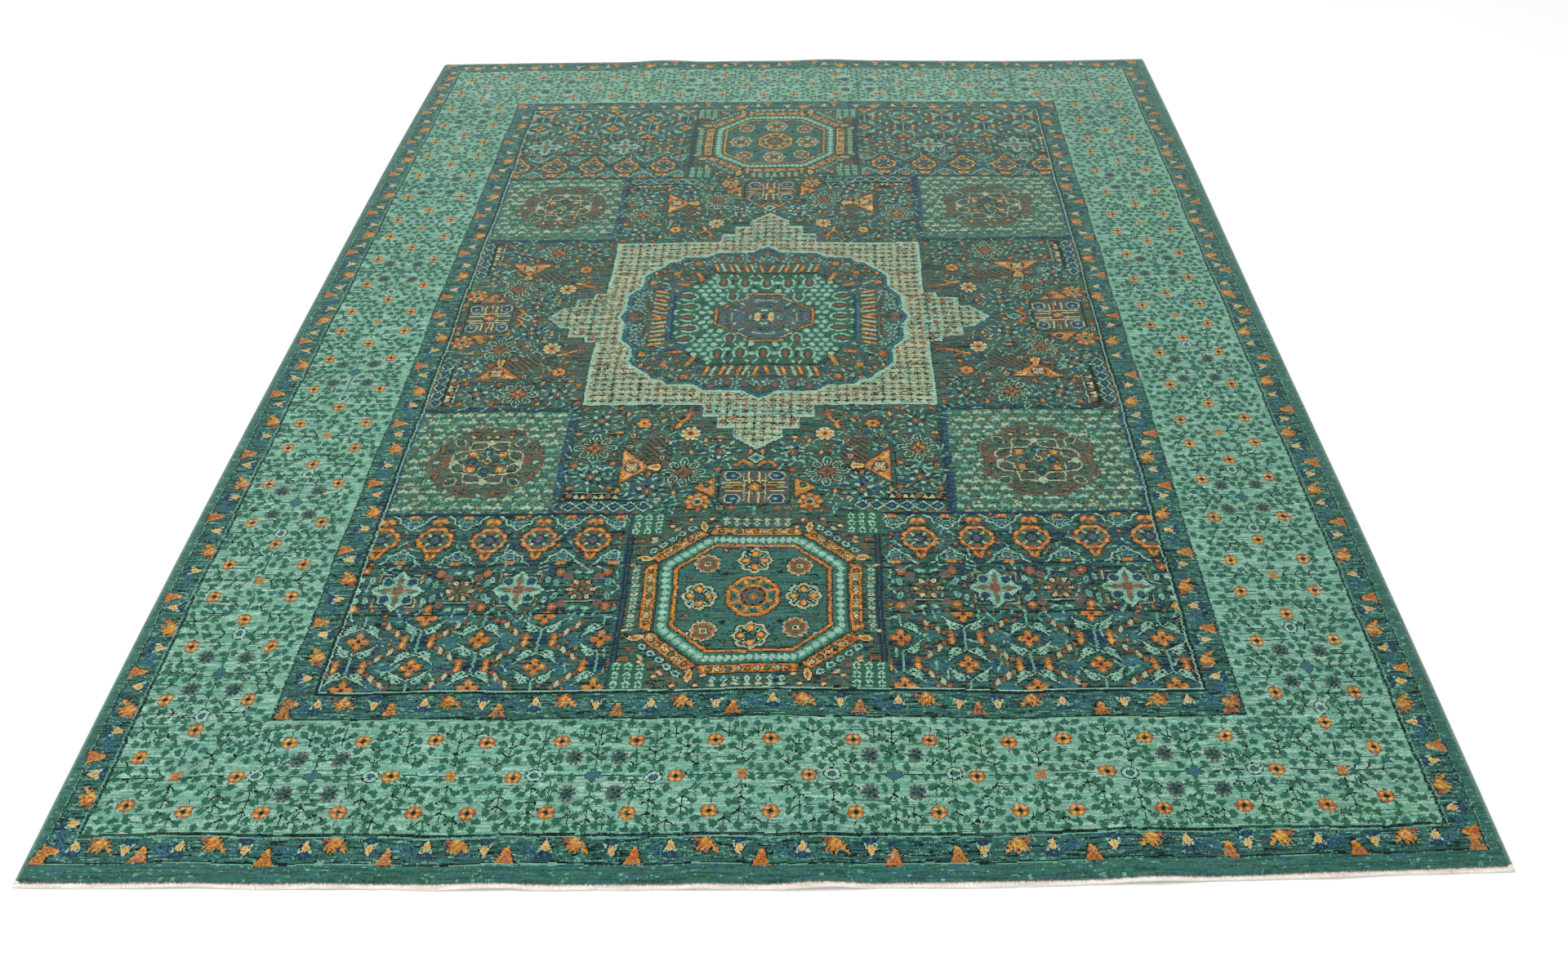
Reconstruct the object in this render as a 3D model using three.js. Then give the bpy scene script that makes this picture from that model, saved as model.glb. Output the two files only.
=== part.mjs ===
// A hand-knotted wool rug, lying face up on a flat floor, in millimetres with +Z up.
// +Y runs along the rug to its far end and +X to its right side. The origin is on the floor
// under the middle of the rug's outer box.
//
// The rug has five pieces. The body is the knotted pile with its cotton foundation. A wool
// binding is wound along each side of it, and a narrow flat-woven cotton web, turned under and
// sewn down, finishes each end. Every piece is first made flat, at its cut size, and then laid:
// the edges bow out a little, as hand weaving does, and a few low ripples lift the ends.

import * as THREE from "three";

// Cut size of the whole rug, with its bindings and webs.
const RUG_WIDTH = 2440;
const RUG_LENGTH = 3170;

// The pieces, flat.
const PILE_THICKNESS = 9;
const PILE_EDGE_ROUNDING = 3;
const BINDING_DIAMETER = 7;
const WEB_WIDTH = 13;
const WEB_THICKNESS = 4.5;
const WEB_EDGE_ROUNDING = 1.6;
const SEAM_GAP = 0.3;

// How far each edge bows outwards: the heights of 1, 2, 3 ... half waves along that edge.
const BOWS = {
  left: [19, 0, 2],
  right: [7, 0, 2],
  near: [18.5, -2.2],
  far: [7, 6, -4, 3],
};

// Low ripples that lift an end off the floor. Across is the place of the crest along the end,
// half width the distance from the crest to the floor on each side, and reach the distance
// that the ripple runs into the rug.
const RIPPLES = [
  { end: "near", across: 93, height: 8, halfWidth: 95, reach: 340 },
  { end: "near", across: 630, height: 6.5, halfWidth: 110, reach: 300 },
  { end: "near", across: -450, height: 5.5, halfWidth: 100, reach: 260 },
  { end: "near", across: -100, height: 3.5, halfWidth: 80, reach: 200 },
  { end: "near", across: -720, height: 2.5, halfWidth: 100, reach: 200 },
  { end: "near", across: -960, height: 3, halfWidth: 110, reach: 220 },
  { end: "near", across: 930, height: 2, halfWidth: 120, reach: 220 },
  { end: "far", across: -450, height: 6, halfWidth: 150, reach: 320 },
  { end: "far", across: 120, height: 4, halfWidth: 160, reach: 280 },
];

// Steps of the meshes. Rows are close together at the two ends, where the ripples are.
const STEPS_ACROSS = 84;
const STEPS_ALONG = 22;
const END_ROW_SHARE = 0.16;
const BINDING_STEPS = 60;
const BINDING_SIDES = 8;

const halfWidth = RUG_WIDTH / 2;
const halfLength = RUG_LENGTH / 2;

const bodyHalfWidth = halfWidth - BINDING_DIAMETER - SEAM_GAP;
const bodyHalfLength = halfLength - WEB_WIDTH - SEAM_GAP;

// How far an edge stands out at a place from -1, one corner, to 1, the other.
function bow(edge, place) {
  const turn = (Math.PI * (place + 1)) / 2;
  return BOWS[edge].reduce((sum, height, i) => sum + height * Math.sin((i + 1) * turn), 0);
}

// How far the cloth is off the floor at a flat place.
function lift(x, y) {
  let height = 0;
  for (const ripple of RIPPLES) {
    const fromEnd = ripple.end === "near" ? halfLength + y : halfLength - y;
    const across = Math.abs(x - ripple.across) / ripple.halfWidth;
    const along = Math.max(fromEnd, 0) / ripple.reach;
    if (across < 1 && along < 1) {
      const crest = Math.cos((across * Math.PI) / 2) ** 2;
      height += ripple.height * crest * Math.cos((along * Math.PI) / 2) ** 2;
    }
  }
  return height;
}

// Where a point of the flat cloth lies before the rug is centred on the origin.
function laidPlan(x, y) {
  const s = x / halfWidth;
  const t = y / halfLength;
  return {
    x: x + ((1 + s) / 2) * bow("right", t) - ((1 - s) / 2) * bow("left", t),
    y: y + ((1 + t) / 2) * bow("far", s) - ((1 - t) / 2) * bow("near", s),
  };
}

// The middle of the laid rug's outer box, read along its four edges.
function middleOfOutline(steps = 400) {
  const box = new THREE.Box2();
  for (let i = 0; i <= steps; i++) {
    const place = (2 * i) / steps - 1;
    for (const side of [-1, 1]) {
      for (const [x, y] of [[side * halfWidth, place * halfLength], [place * halfWidth, side * halfLength]]) {
        const laid = laidPlan(x, y);
        box.expandByPoint(new THREE.Vector2(laid.x, laid.y));
      }
    }
  }
  return box.getCenter(new THREE.Vector2());
}

const middle = middleOfOutline();

// Lays a flat piece on the floor: its points keep their height over the cloth's underside.
function lay(geometry) {
  const places = geometry.getAttribute("position");
  for (let i = 0; i < places.count; i++) {
    const x = places.getX(i);
    const y = places.getY(i);
    const plan = laidPlan(x, y);
    places.setXYZ(i, plan.x - middle.x, plan.y - middle.y, places.getZ(i) + lift(x, y));
  }
  geometry.deleteAttribute("normal");
  geometry.deleteAttribute("uv");
  return geometry;
}

// A rank from -1 to 1 moved so that the first and last rows lie close to the ends.
function closeAtEnds(rank) {
  return (1 - END_ROW_SHARE) * Math.sin((rank * Math.PI) / 2) + END_ROW_SHARE * rank;
}

// The knotted body: a slab whose upper edge is rounded off, as pile is at the rug's edge.
function pileBody() {
  const slab = new THREE.BoxGeometry(2, 2, PILE_THICKNESS, STEPS_ACROSS, STEPS_ALONG, 1);
  const places = slab.getAttribute("position");
  const secondColumn = 1 - PILE_EDGE_ROUNDING / bodyHalfWidth;
  const secondRow = 1 - PILE_EDGE_ROUNDING / bodyHalfLength;
  for (let i = 0; i < places.count; i++) {
    const acrossRank = places.getX(i);
    const alongRank = places.getY(i);
    const onTop = places.getZ(i) > 0;
    const lastInnerColumn = 1 - 2 / STEPS_ACROSS;
    const lastInnerRow = 1 - 2 / STEPS_ALONG;
    const s = stretched(acrossRank, lastInnerColumn, secondColumn, (rank) => rank);
    const t = stretched(alongRank, lastInnerRow, secondRow, closeAtEnds);
    const atRim = Math.abs(acrossRank) > lastInnerColumn + 1e-6 || Math.abs(alongRank) > lastInnerRow + 1e-6;
    const height = onTop ? PILE_THICKNESS - (atRim ? PILE_EDGE_ROUNDING : 0) : 0;
    places.setXYZ(i, s * bodyHalfWidth, t * bodyHalfLength, height);
  }
  return lay(slab);
}

// Ranks up to the last inner one spread over the flat top, and the outermost one is the rim.
function stretched(rank, lastInner, topEdge, spread) {
  if (Math.abs(rank) > lastInner + 1e-6) return Math.sign(rank);
  return spread(rank / lastInner) * topEdge;
}

// The wool binding wound round the outermost warps of one side: -1 is left and 1 is right.
function sideBinding(side) {
  const radius = BINDING_DIAMETER / 2;
  const length = 2 * bodyHalfLength;
  const cord = new THREE.CylinderGeometry(radius, radius, length, BINDING_SIDES, BINDING_STEPS);
  cord.rotateY(Math.PI / BINDING_SIDES);
  // A many-sided tube stands on a flat, so it is stretched to its full height and width.
  const toFlat = 1 / Math.cos(Math.PI / BINDING_SIDES);
  cord.scale(toFlat, 1, toFlat);
  cord.translate(side * (halfWidth - radius), 0, radius);
  const places = cord.getAttribute("position");
  for (let i = 0; i < places.count; i++) {
    places.setY(i, closeAtEnds(places.getY(i) / bodyHalfLength) * bodyHalfLength);
  }
  return lay(cord);
}

// The flat-woven cotton web at one end, over the whole width: -1 is near and 1 is far.
function endWeb(end) {
  const web = new THREE.BoxGeometry(2, 2, 1, STEPS_ACROSS, 2, 1);
  const places = web.getAttribute("position");
  for (let i = 0; i < places.count; i++) {
    const outward = places.getY(i) * end;
    const onTop = places.getZ(i) > 0;
    const fromBody = outward < -0.5 ? 0 : outward > 0.5 ? WEB_WIDTH : WEB_WIDTH - WEB_EDGE_ROUNDING;
    const height = onTop ? WEB_THICKNESS - (outward > 0.5 ? WEB_EDGE_ROUNDING : 0) : 0;
    places.setXYZ(i, places.getX(i) * halfWidth, end * (halfLength - WEB_WIDTH + fromBody), height);
  }
  return lay(web);
}

const dyedWool = new THREE.MeshStandardMaterial({ color: 0x4f8f7c, roughness: 0.95, metalness: 0 });
const bindingWool = new THREE.MeshStandardMaterial({ color: 0x3f6f68, roughness: 0.9, metalness: 0 });
const webCotton = new THREE.MeshStandardMaterial({ color: 0xe6ddcb, roughness: 0.95, metalness: 0 });

const rug = new THREE.Group();

function addPiece(name, geometry, material) {
  const piece = new THREE.Mesh(geometry, material);
  piece.name = name;
  rug.add(piece);
}

addPiece("pile_body", pileBody(), dyedWool);
addPiece("side_binding_left", sideBinding(-1), bindingWool);
addPiece("side_binding_right", sideBinding(1), bindingWool);
addPiece("end_web_near", endWeb(-1), webCotton);
addPiece("end_web_far", endWeb(1), webCotton);

export default rug;
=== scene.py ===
# %% [markdown]
# # A hand-knotted wool rug
# The rug lies face up on a pale floor. It is a cloth of wool knots tied on a cotton foundation,
# with a wool binding wound round each side and a narrow flat-woven cotton web at each end.
# Almost all of what the eye sees is its pattern, and the pattern is made of knots, so this
# script ties them: it charts about 1.7 million knots, one yarn each, and hangs the chart on the
# laid cloth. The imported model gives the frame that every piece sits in.

# %% Frame
import bpy
import numpy as np
from math import pi, radians
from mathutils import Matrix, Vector


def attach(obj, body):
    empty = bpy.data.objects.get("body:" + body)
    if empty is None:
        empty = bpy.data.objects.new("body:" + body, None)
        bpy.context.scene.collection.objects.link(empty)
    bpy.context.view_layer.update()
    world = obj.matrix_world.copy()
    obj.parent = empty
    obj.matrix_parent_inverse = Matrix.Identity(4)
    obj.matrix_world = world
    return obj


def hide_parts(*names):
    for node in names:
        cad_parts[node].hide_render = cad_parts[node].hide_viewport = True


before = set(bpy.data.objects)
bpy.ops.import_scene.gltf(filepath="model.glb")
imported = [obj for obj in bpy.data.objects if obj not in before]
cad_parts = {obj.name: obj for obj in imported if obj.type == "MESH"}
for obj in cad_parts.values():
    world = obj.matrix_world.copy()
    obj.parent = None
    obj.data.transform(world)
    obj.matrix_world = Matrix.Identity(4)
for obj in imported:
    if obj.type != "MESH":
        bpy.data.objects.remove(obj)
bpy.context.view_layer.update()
print("solids:", sorted(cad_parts))


# %% [markdown]
# ## Colour and node helpers
# Colours are written as they look on a screen, and a renderer works in linear light, so one
# function turns them. Another adds a node with its settings and its links in one line, so that a
# material reads as a list of steps.

# %% Helpers for colour and nodes
def linear(hex_colour):
    """A #rrggbb screen colour as linear red, green, blue and alpha."""
    parts = [int(hex_colour[i:i + 2], 16) / 255 for i in (1, 3, 5)]
    return tuple(c / 12.92 if c < 0.04045 else ((c + 0.055) / 1.055) ** 2.4 for c in parts) + (1,)


def node(tree, kind, settings=None, *values, **named):
    """Add a node, and set or link its inputs.

    Settings are a dict, or only the name of the node's operation. Values fill the inputs in turn,
    and named ones go to the input of that name, with an underscore for a space. Each is a plain
    value, a socket, or another node, which stands for the first output that it uses.
    """
    new = tree.nodes.new("ShaderNode" + kind)
    if isinstance(settings, str):
        settings = {"operation": settings}
    for key, value in (settings or {}).items():
        setattr(new, key, value)
    for key, value in [*enumerate(values), *named.items()]:
        socket = new.inputs[key if isinstance(key, int) else key.replace("_", " ")]
        if isinstance(value, bpy.types.Node):
            value = next(output for output in value.outputs if output.enabled)
        if isinstance(value, bpy.types.NodeSocket):
            tree.links.new(value, socket)
        else:
            socket.default_value = value
    return new


def new_material(name, roughness, specular, sheen=0.0):
    """A new material and its shader, ready for links.

    Roughness makes it matt, specular is the little light its surface mirrors, and sheen is the
    pale rim that fibre tips give it at a low angle.
    """
    material = bpy.data.materials.new(name)
    material.use_nodes = True
    tree = material.node_tree
    tree.nodes.clear()
    shader = node(tree, "BsdfPrincipled", Roughness=roughness, Specular_IOR_Level=specular,
                  Sheen_Weight=sheen)
    node(tree, "OutputMaterial", Surface=shader)
    return material, tree, shader


print("jade in linear light:", [round(c, 3) for c in linear("#6cb898")[:3]])


# %% [markdown]
# ## The yarns
# A knotted rug is a chart: every knot is one of a few dyed wools. This one has sixteen. Each
# yarn has a one-letter name, so that a small motif can be written down as rows of letters, in the
# way that a weaver reads them. The wool is hand-dyed, so these are the middles of colours that
# wander; the material adds the wandering.

# %% Yarns and the chart
YARNS = {
    "d": "#284d43",  # deep teal, the field's ground
    "k": "#0c1a17",  # ink, stems and outlines
    "n": "#1a3348",  # navy
    "b": "#2f5a68",  # blue
    "t": "#316158",  # teal, brighter ground
    "j": "#5f927e",  # jade, the wide border's ground
    "m": "#86ab97",  # pale mint
    "g": "#255540",  # leaf green
    "o": "#ac7423",  # orange
    "y": "#bb9650",  # gold
    "r": "#8a4f2e",  # rust
    "c": "#b2a576",  # cream
    "s": "#959f80",  # sage, the star's ground
    "w": "#544b3b",  # taupe brown
    "p": "#50505c",  # grey purple
    "h": "#3a6450",  # dull green
}
CODE = {letter: number for number, letter in enumerate(YARNS)}

RUG_WIDTH, RUG_LENGTH = 2440.0, 3170.0
BINDING, WEB, SEAM = 7.0, 13.0, 0.3
KNOTS_ACROSS, KNOTS_ALONG = 1152, 1494
KNOT = (RUG_WIDTH - 2 * (BINDING + SEAM)) / KNOTS_ACROSS

chart = np.full((KNOTS_ALONG, KNOTS_ACROSS), CODE["d"], dtype=np.uint8)
rng = np.random.default_rng(7)
print(f"chart of {chart.size / 1e6:.2f} million knots, {KNOT:.2f} mm apart")


# %% [markdown]
# ## Drawing on the chart
# Motifs are drawn as a weaver thinks of them: a place, a few simple shapes round it, and one
# yarn for each. A place is given in millimetres from the rug's left side and far end, because
# that is how a rug is measured, and sizes are given in knots, because a knot is the smallest
# thing there is.

# %% Drawing helpers
def across(mm):
    return (mm - BINDING - SEAM) / KNOT


def along(mm):
    return (mm - WEB - SEAM) / KNOT


def window(cx, cy, reach):
    """The part of the chart round a place, and each knot's distance from it."""
    x0, x1 = max(int(cx - reach), 0), min(int(cx + reach) + 2, KNOTS_ACROSS)
    y0, y1 = max(int(cy - reach), 0), min(int(cy + reach) + 2, KNOTS_ALONG)
    y, x = np.mgrid[y0:y1, x0:x1]
    return chart[y0:y1, x0:x1], x + 0.5 - cx, y + 0.5 - cy


def shape(kind, x, y, size, other, points):
    """True for the knots inside a shape of half-size `size` along x and `other` along y."""
    if kind == "oval":
        return (x / size) ** 2 + (y / other) ** 2 < 1
    if kind == "box":
        return (np.abs(x) < size) & (np.abs(y) < other)
    if kind == "diamond":
        return np.abs(x) / size + np.abs(y) / other < 1
    if kind == "leaf":
        return np.abs(y) < other * (1 - (x / size) ** 2)
    radius, angle = np.hypot(x, y), np.arctan2(y, x)
    if kind == "lobes":
        return radius < other + (size - other) * np.abs(np.cos(points * angle / 2))
    turn = np.abs((angle + np.pi / points) % (2 * np.pi / points) - np.pi / points)
    tip, notch = size, other
    half = np.pi / points
    edge = tip * notch * np.sin(half) / (notch * np.sin(half - turn) + tip * np.sin(turn))
    return radius < edge


def entries(text):
    """The entries of a short table: words, with a comma or a new line after each entry."""
    return [entry.split() for entry in text.replace("\n", ",").split(",") if entry.strip()]


def layers_of(text):
    """Read a motif's layers. Each is a yarn, a shape and its half sizes, such as "o leaf 4 1.2".

    Marks may follow: x4 for four copies in a ring, >5 for how many knots out they stand, @45 for
    their spin in degrees, and *6 for the number of points or lobes, which is eight otherwise.
    """
    for yarn, kind, size, other, *marks in entries(text):
        given = {mark[0]: float(mark[1:]) for mark in marks}
        yield (yarn, kind, float(size), float(other), int(given.get("x", 1)), given.get(">", 0),
               given.get("@", 0), given.get("*", 8))


def motif(layers, u, v, turn=0, flip=False, scale=1.0):
    """Paint a motif's layers, one over another, round a place on the chart."""
    for yarn, kind, size, other, copies, away, spin, points in layers_of(layers):
        part, x, y = window(u, v, (max(size, other) * 1.5 + away) * scale + 1)
        x = -x if flip else x
        for copy in range(copies):
            facing = np.radians(spin + turn + 360 * copy / copies)
            c, s = np.cos(facing), np.sin(facing)
            inside = shape(kind, (x * c + y * s) / scale - away, (y * c - x * s) / scale,
                           size, other, points)
            part[inside] = CODE[yarn]


def stamp(rows, u, v, turn=0, flip=False):
    """Paint a motif that is written as rows of letters; a dot leaves the knot as it is."""
    art = np.array([[CODE.get(letter, 99) for letter in row] for row in rows], dtype=np.uint8)
    art = np.rot90(art[:, ::-1] if flip else art, turn)
    y0, x0 = int(round(v - art.shape[0] / 2)), int(round(u - art.shape[1] / 2))
    y1, x1 = min(y0 + art.shape[0], KNOTS_ALONG), min(x0 + art.shape[1], KNOTS_ACROSS)
    top, left = max(y0, 0), max(x0, 0)
    if top >= y1 or left >= x1:
        return
    art = art[top - y0:y1 - y0, left - x0:x1 - x0]
    part = chart[top:y1, left:x1]
    part[art != 99] = art[art != 99]


def block(u0, v0, u1, v1, yarn):
    chart[max(int(round(v0)), 0):int(round(v1)), max(int(round(u0)), 0):int(round(u1))] = CODE[yarn]


def rule(u0, v0, u1, v1, yarn, thick=1):
    """A rectangle's outline, drawn inwards from its edges."""
    block(u0, v0, u1, v0 + thick, yarn)
    block(u0, v1 - thick, u1, v1, yarn)
    block(u0, v0, u0 + thick, v1, yarn)
    block(u1 - thick, v0, u1, v1, yarn)


def within(corners, x, y):
    """Which of the places x, y are inside a closed outline: each crossing of a row flips them."""
    inside = np.zeros(x.shape, dtype=bool)
    for (ax, ay), (bx, by) in zip(corners, np.roll(corners, -1, axis=0)):
        if ay != by:
            crosses = (ay > y) != (by > y)
            inside ^= crosses & (x < (bx - ax) * (y - ay) / (by - ay) + ax)
    return inside


def round_outline(corners):
    """The part of the chart round an outline of (u, v) corners, its places and its middle."""
    points = np.array(corners, dtype=float)
    middle = (points.min(0) + points.max(0)) / 2
    return window(*middle, np.ptp(points, axis=0).max() / 2 + 1) + (middle,)


def inside_of(corners):
    """The part of the chart round a closed outline of (u, v) corners, and which knots are in it."""
    part, x, y, middle = round_outline(corners)
    return part, within(np.array(corners) - middle, x, y)


def polygon(corners, yarn):
    part, inside = inside_of(corners)
    part[inside] = CODE[yarn]


def line(points, yarn, thick=1.0, closed=False):
    """Draw a run of straight stitches through (u, v) points."""
    pts = list(points) + ([points[0]] if closed else [])
    for (ax, ay), (bx, by) in zip(pts[:-1], pts[1:]):
        length = max(np.hypot(bx - ax, by - ay), 1e-6)
        part, x, y = window((ax + bx) / 2, (ay + by) / 2, length / 2 + thick + 1)
        cx, cy = (bx - ax) / length, (by - ay) / length
        lengthways, sideways = x * cx + y * cy, y * cx - x * cy
        over = (np.abs(sideways) < thick / 2 + 0.1) & (np.abs(lengthways) < length / 2 + 0.3)
        part[over] = CODE[yarn]


RAGGED = 0.8  # the share of a run's knots that do change, so that no run is a clean bar


def streaks(part, changes, inside=True, weight=1.0):
    """Turn short runs of knots, along the rows, into other wools, one change after another.

    "d>t 0.4 11, k 0.2" turns 0.4 of the d knots into t, in runs of up to 11, and then 0.2 of the
    d knots into k. The ground and the longest run carry on until others are given.
    """
    rows, columns = part.shape
    ground, longest = "d", 14
    for pair, share, *run in entries(changes):
        ground, yarn = pair.split(">") if ">" in pair else (ground, pair)
        longest = int(run[0]) if run else longest
        runs = rng.random((rows, columns // longest + 2)).repeat(longest, axis=1)
        place = np.arange(columns) + rng.integers(0, longest, rows)[:, None]
        chosen = np.take_along_axis(runs, place, axis=1) < weight * float(share) / RAGGED
        chosen &= rng.random(part.shape) < RAGGED
        part[chosen & (part == CODE[ground]) & inside] = CODE[yarn]


print("a layer reads as:", *layers_of("o leaf 4 1.2 x4 >5 @45"))


# %% [markdown]
# ## The ground plan
# The rug is laid out like a garden: a plain edge, a narrow border, the wide leafy border, a
# second narrow border, and the field. The borders aren't quite even, because the weaver's beam
# and hand never are, so each line stands where it stands on the real rug.

# %% Ground plan, in millimetres from the left side and the far end
PLAN = {  # name: left, far, right, near
    "outer border": (24, 17, 2409, 3132),
    "wide border": (70, 74, 2354, 3081),
    "inner border": (309, 327, 2082, 2844),
    "field": (373, 381, 2018, 2782),
}


def plan_box(name):
    left, far, right, near = PLAN[name]
    return across(left), along(far), across(right), along(near)


def grown(box, knots):
    return box[0] - knots, box[1] - knots, box[2] + knots, box[3] + knots


def box_part(box):
    u0, v0, u1, v1 = (int(round(edge)) for edge in box)
    return chart[v0:v1, u0:u1]


def narrow_ground(name):
    """A dark band, streaked with other blues and greens, between a pale line and a dark one."""
    box = plan_box(name)
    rule(*grown(box, 1), "j")
    streaks(box_part(grown(box, 1)), "j>d 0.35 30")
    block(*box, "d")
    streaks(box_part(box), "d>t 0.42 11, k 0.22, n 0.14, b 0.09, h 0.08, t>j 0.24 4")
    rule(*box, "k")


def shade_round(part, share):
    """Darken some ground knots beside warm ones, as a weaver sets off a motif."""
    warm = np.isin(part, [CODE[yarn] for yarn in "oyrc"])
    beside = np.zeros(part.shape, dtype=bool)
    for step in (-1, 1):
        beside |= np.roll(warm, step, axis=0) | np.roll(warm, 2 * step, axis=1)
    for ground in "dthb":
        streaks(part, f"{ground}>k {share} 2, n {share} 3", inside=beside)


block(0, 0, KNOTS_ACROSS, KNOTS_ALONG, "t")
streaks(chart, "t>d 0.25 30, b 0.12 9, h 0.12 6, j 0.07 3, g 0.1 7")
narrow_ground("outer border")
wide = plan_box("wide border")
block(*wide, "j")
for name, box in PLAN.items():
    print(f"{name}: {box[2] - box[0]} by {box[3] - box[1]} mm")


# %% [markdown]
# ## The narrow borders
# A pyramid, a bud, a big serrated leaf and an upturned bud follow each other round both narrow
# borders. They are small and crooked, so they are charted knot by knot.

# %% Narrow border motifs
PYRAMID = [
    "......oyo......",
    ".....oyyoo.....",
    ".....ooyor.....",
    "....rooroo.....",
    "....oorroor....",
    "....oyoorro....",
    "...roororrr....",
    "...oorrrroo....",
    "..rroyrroorr...",
    "..oorrrrrroo...",
    ".roorroorroor..",
    ".oorrrrrrrroo..",
    "rooroorooroorr.",
    "orrrrrrrrrrrro.",
]
WING = [
    ".......b.b.",
    "...b..bb.bb",
    "b..bb.bbbn.",
    "bb.bnbbnbb.",
    ".bbbnnbbn..",
    "bnbbbnnb.b.",
    ".bbnbb.bbb.",
    "..b..bb....",
]
BUD = [
    "......c......",
    ".....ccc.....",
    ".....cyc.....",
    "....ccyyc....",
    "....cyoyc....",
    "...ccyoyyc...",
    "...cyyoyyc...",
    "..c.cyoyc.c..",
    "..m.ccycc.m..",
    ".mm..cnc..mm.",
    ".mm.nnnnn.mm.",
    "..nnnnbnnnn..",
    ".nnnnbbbnnnn.",
    "nnnnnbnbnnnnn",
    "nn.nnnnnnn.nn",
    "n..nn.n.nn..n",
]
LEAF = [
    "rr.....rryr..........",
    ".rrr..rrooyoo........",
    "rrrrr.rooyyoor.......",
    "..rrrrooyyoooroo.....",
    "rrr.rroyyooroyy.o....",
    ".r..rrooyoooyyoo.....",
    "....rooooorroyo..o...",
    "....rroroooyooooooor.",
    "....ooroooyooo.roo...",
    "...oor.ooooroo.yoo...",
    "...oo.ooyo.ro...yooo.",
    "...o..ooo.roo...royyo",
    "......oo..oro....roo.",
    "......o...oo.......oo",
    "..........o..........",
]


PYRAMIDS = {  # where the pyramids stand along each strip, up to its middle and past it, in millimetres
    "outer border": {
        "near": ((25, 190, 390, 590, 790, 1000, 1215, 1430), (1540, 1760, 1985, 2195, 2390)),
        "right": ((40, 205, 430, 610, 795, 1005, 1190, 1375),
                  (1570, 1760, 1965, 2155, 2340, 2560, 2745, 2920, 3100)),
        "far": ((30, 215, 410, 605, 810, 1015, 1200), (1290, 1500, 1735, 1955, 2175, 2385)),
        "left": ((30, 205, 385, 595, 800, 1030, 1245, 1455),
                 (1660, 1880, 2100, 2300, 2535, 2730, 2920, 3110)),
    },
    "inner border": {
        "near": ((325, 515, 715, 935, 1155, 1385), (1605, 1830, 2055)),
        "right": ((361, 581, 791, 996, 1196, 1381), (1571, 1821, 2041, 2216, 2426, 2631, 2811)),
        "far": ((325, 525, 720, 940, 1145, 1360), (1590, 1810, 2045)),
        "left": ((351, 596, 811, 1046, 1251, 1461), (1546, 1766, 1986, 2196, 2401, 2606, 2806)),
    },
}
AFTER_PYRAMID = (  # motif, share of the way to the next pyramid, knots inwards of the strip's middle
    (WING, 0.13, 2), (WING, 0.20, -2), (BUD, 0.30, 0), (LEAF, 0.55, 3), (BUD[::-1], 0.83, 2.5),
)


def narrow_border(name, inner):
    """Stamp the motifs in turn along each strip. Past its middle they are mirrored."""
    left, far, right, near = PLAN[name]
    in_left, in_far, in_right, in_near = PLAN[inner]
    middles = (near + in_near) / 2, (right + in_right) / 2, (far + in_far) / 2, (left + in_left) / 2
    for turn, side in enumerate(("near", "right", "far", "left")):
        rising, falling = PYRAMIDS[name][side]
        stops = rising + falling
        for i, start in enumerate(stops):
            mirrored = i >= len(rising)
            marks = [(PYRAMID, start, -5.5)]
            if i + 1 < len(stops) and stops[i + 1] - start > 150:
                step = stops[i + 1] - start
                marks += [(art, start + step * (1 - share if mirrored else share), inward)
                          for art, share, inward in AFTER_PYRAMID]
            for art, place, inward in marks:
                place, inward = place + rng.uniform(-3, 3), inward + rng.uniform(-1, 1)
                offset = inward if turn in (0, 1) else -inward
                flip = mirrored if turn in (0, 3) else not mirrored
                if turn in (0, 2):
                    stamp(art, across(place), along(middles[turn]) - offset, turn, flip)
                else:
                    stamp(art, across(middles[turn]) - offset, along(place), turn, flip)


narrow_border("outer border", "wide border")


# %% [markdown]
# ## The wide border
# Leafy twigs fill a jade ground. Down the middle of it run a small cross, a rosette, a ring and a
# blue diamond, and back again, with pairs of rosettes on both sides, and four greyish ones
# round each diamond. The stations of the crosses and diamonds are those of the real rug. The
# flowers and stems are knotted first here, and then leaves go wherever there is room for one,
# which is how such a ground comes to be so evenly full.

# %% Wide border motifs
ROSETTE = """
w oval 7.4 6, r oval 6.8 5.3, o lobes 5.4 4.1 @22, y oval 1.8 1 x4 >3.7 @45, r leaf 5 0.7 x4 >2.6
w oval 2.7 2.3, k oval 2 1.7"""
GREY_ROSETTE = """
w lobes 8 5.6 *10, p lobes 7.2 4.9 *10, g lobes 5.9 3.9 @18 *10, k oval 1.5 0.9 x5 >3.7 @36, w oval 2.9 2
n oval 2.1 1.5"""
RING = "k oval 7.4 6.3, m oval 6.3 5.2, k oval 3.9 3.1, b oval 3 2.3, t oval 1.2 0.9"
BLUE_DIAMOND = """
k diamond 11.5 0.8, k diamond 0.8 10.5, k diamond 9 7.2, t diamond 8.2 6.4, b diamond 6 4.6
t diamond 2.2 1.6"""
CROSS_FLOWER = """
r leaf 6.5 2.6 x2 @45, r leaf 6.5 2.6 x2 @135, o leaf 5.6 1.5 x2 @45, o leaf 5.6 1.5 x2 @135
r oval 1.3 1.3"""
FAN_LEAVES = [np.array([list(row) for row in rows]) != "." for rows in (
    ["..gg.gg.", ".ggggggg", "gggggggg", "gggggggg", ".gggggg.", "..gggg..", "...gg..."],
    ["..ggg.gg", ".ggggggg", "gggggggg", ".ggggggg", "ggggggg.", "gg.ggg..", "...g...."],
    [".ggg.gg.", "gggggggg", "gggggggg", ".ggggggg", "..gggg..", "...gg...", "...g...."],
    ["...ggg..", ".ggggggg", "gggggggg", "ggggggg.", ".gggggg.", "..ggg...", "...g...."],
)]
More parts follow.
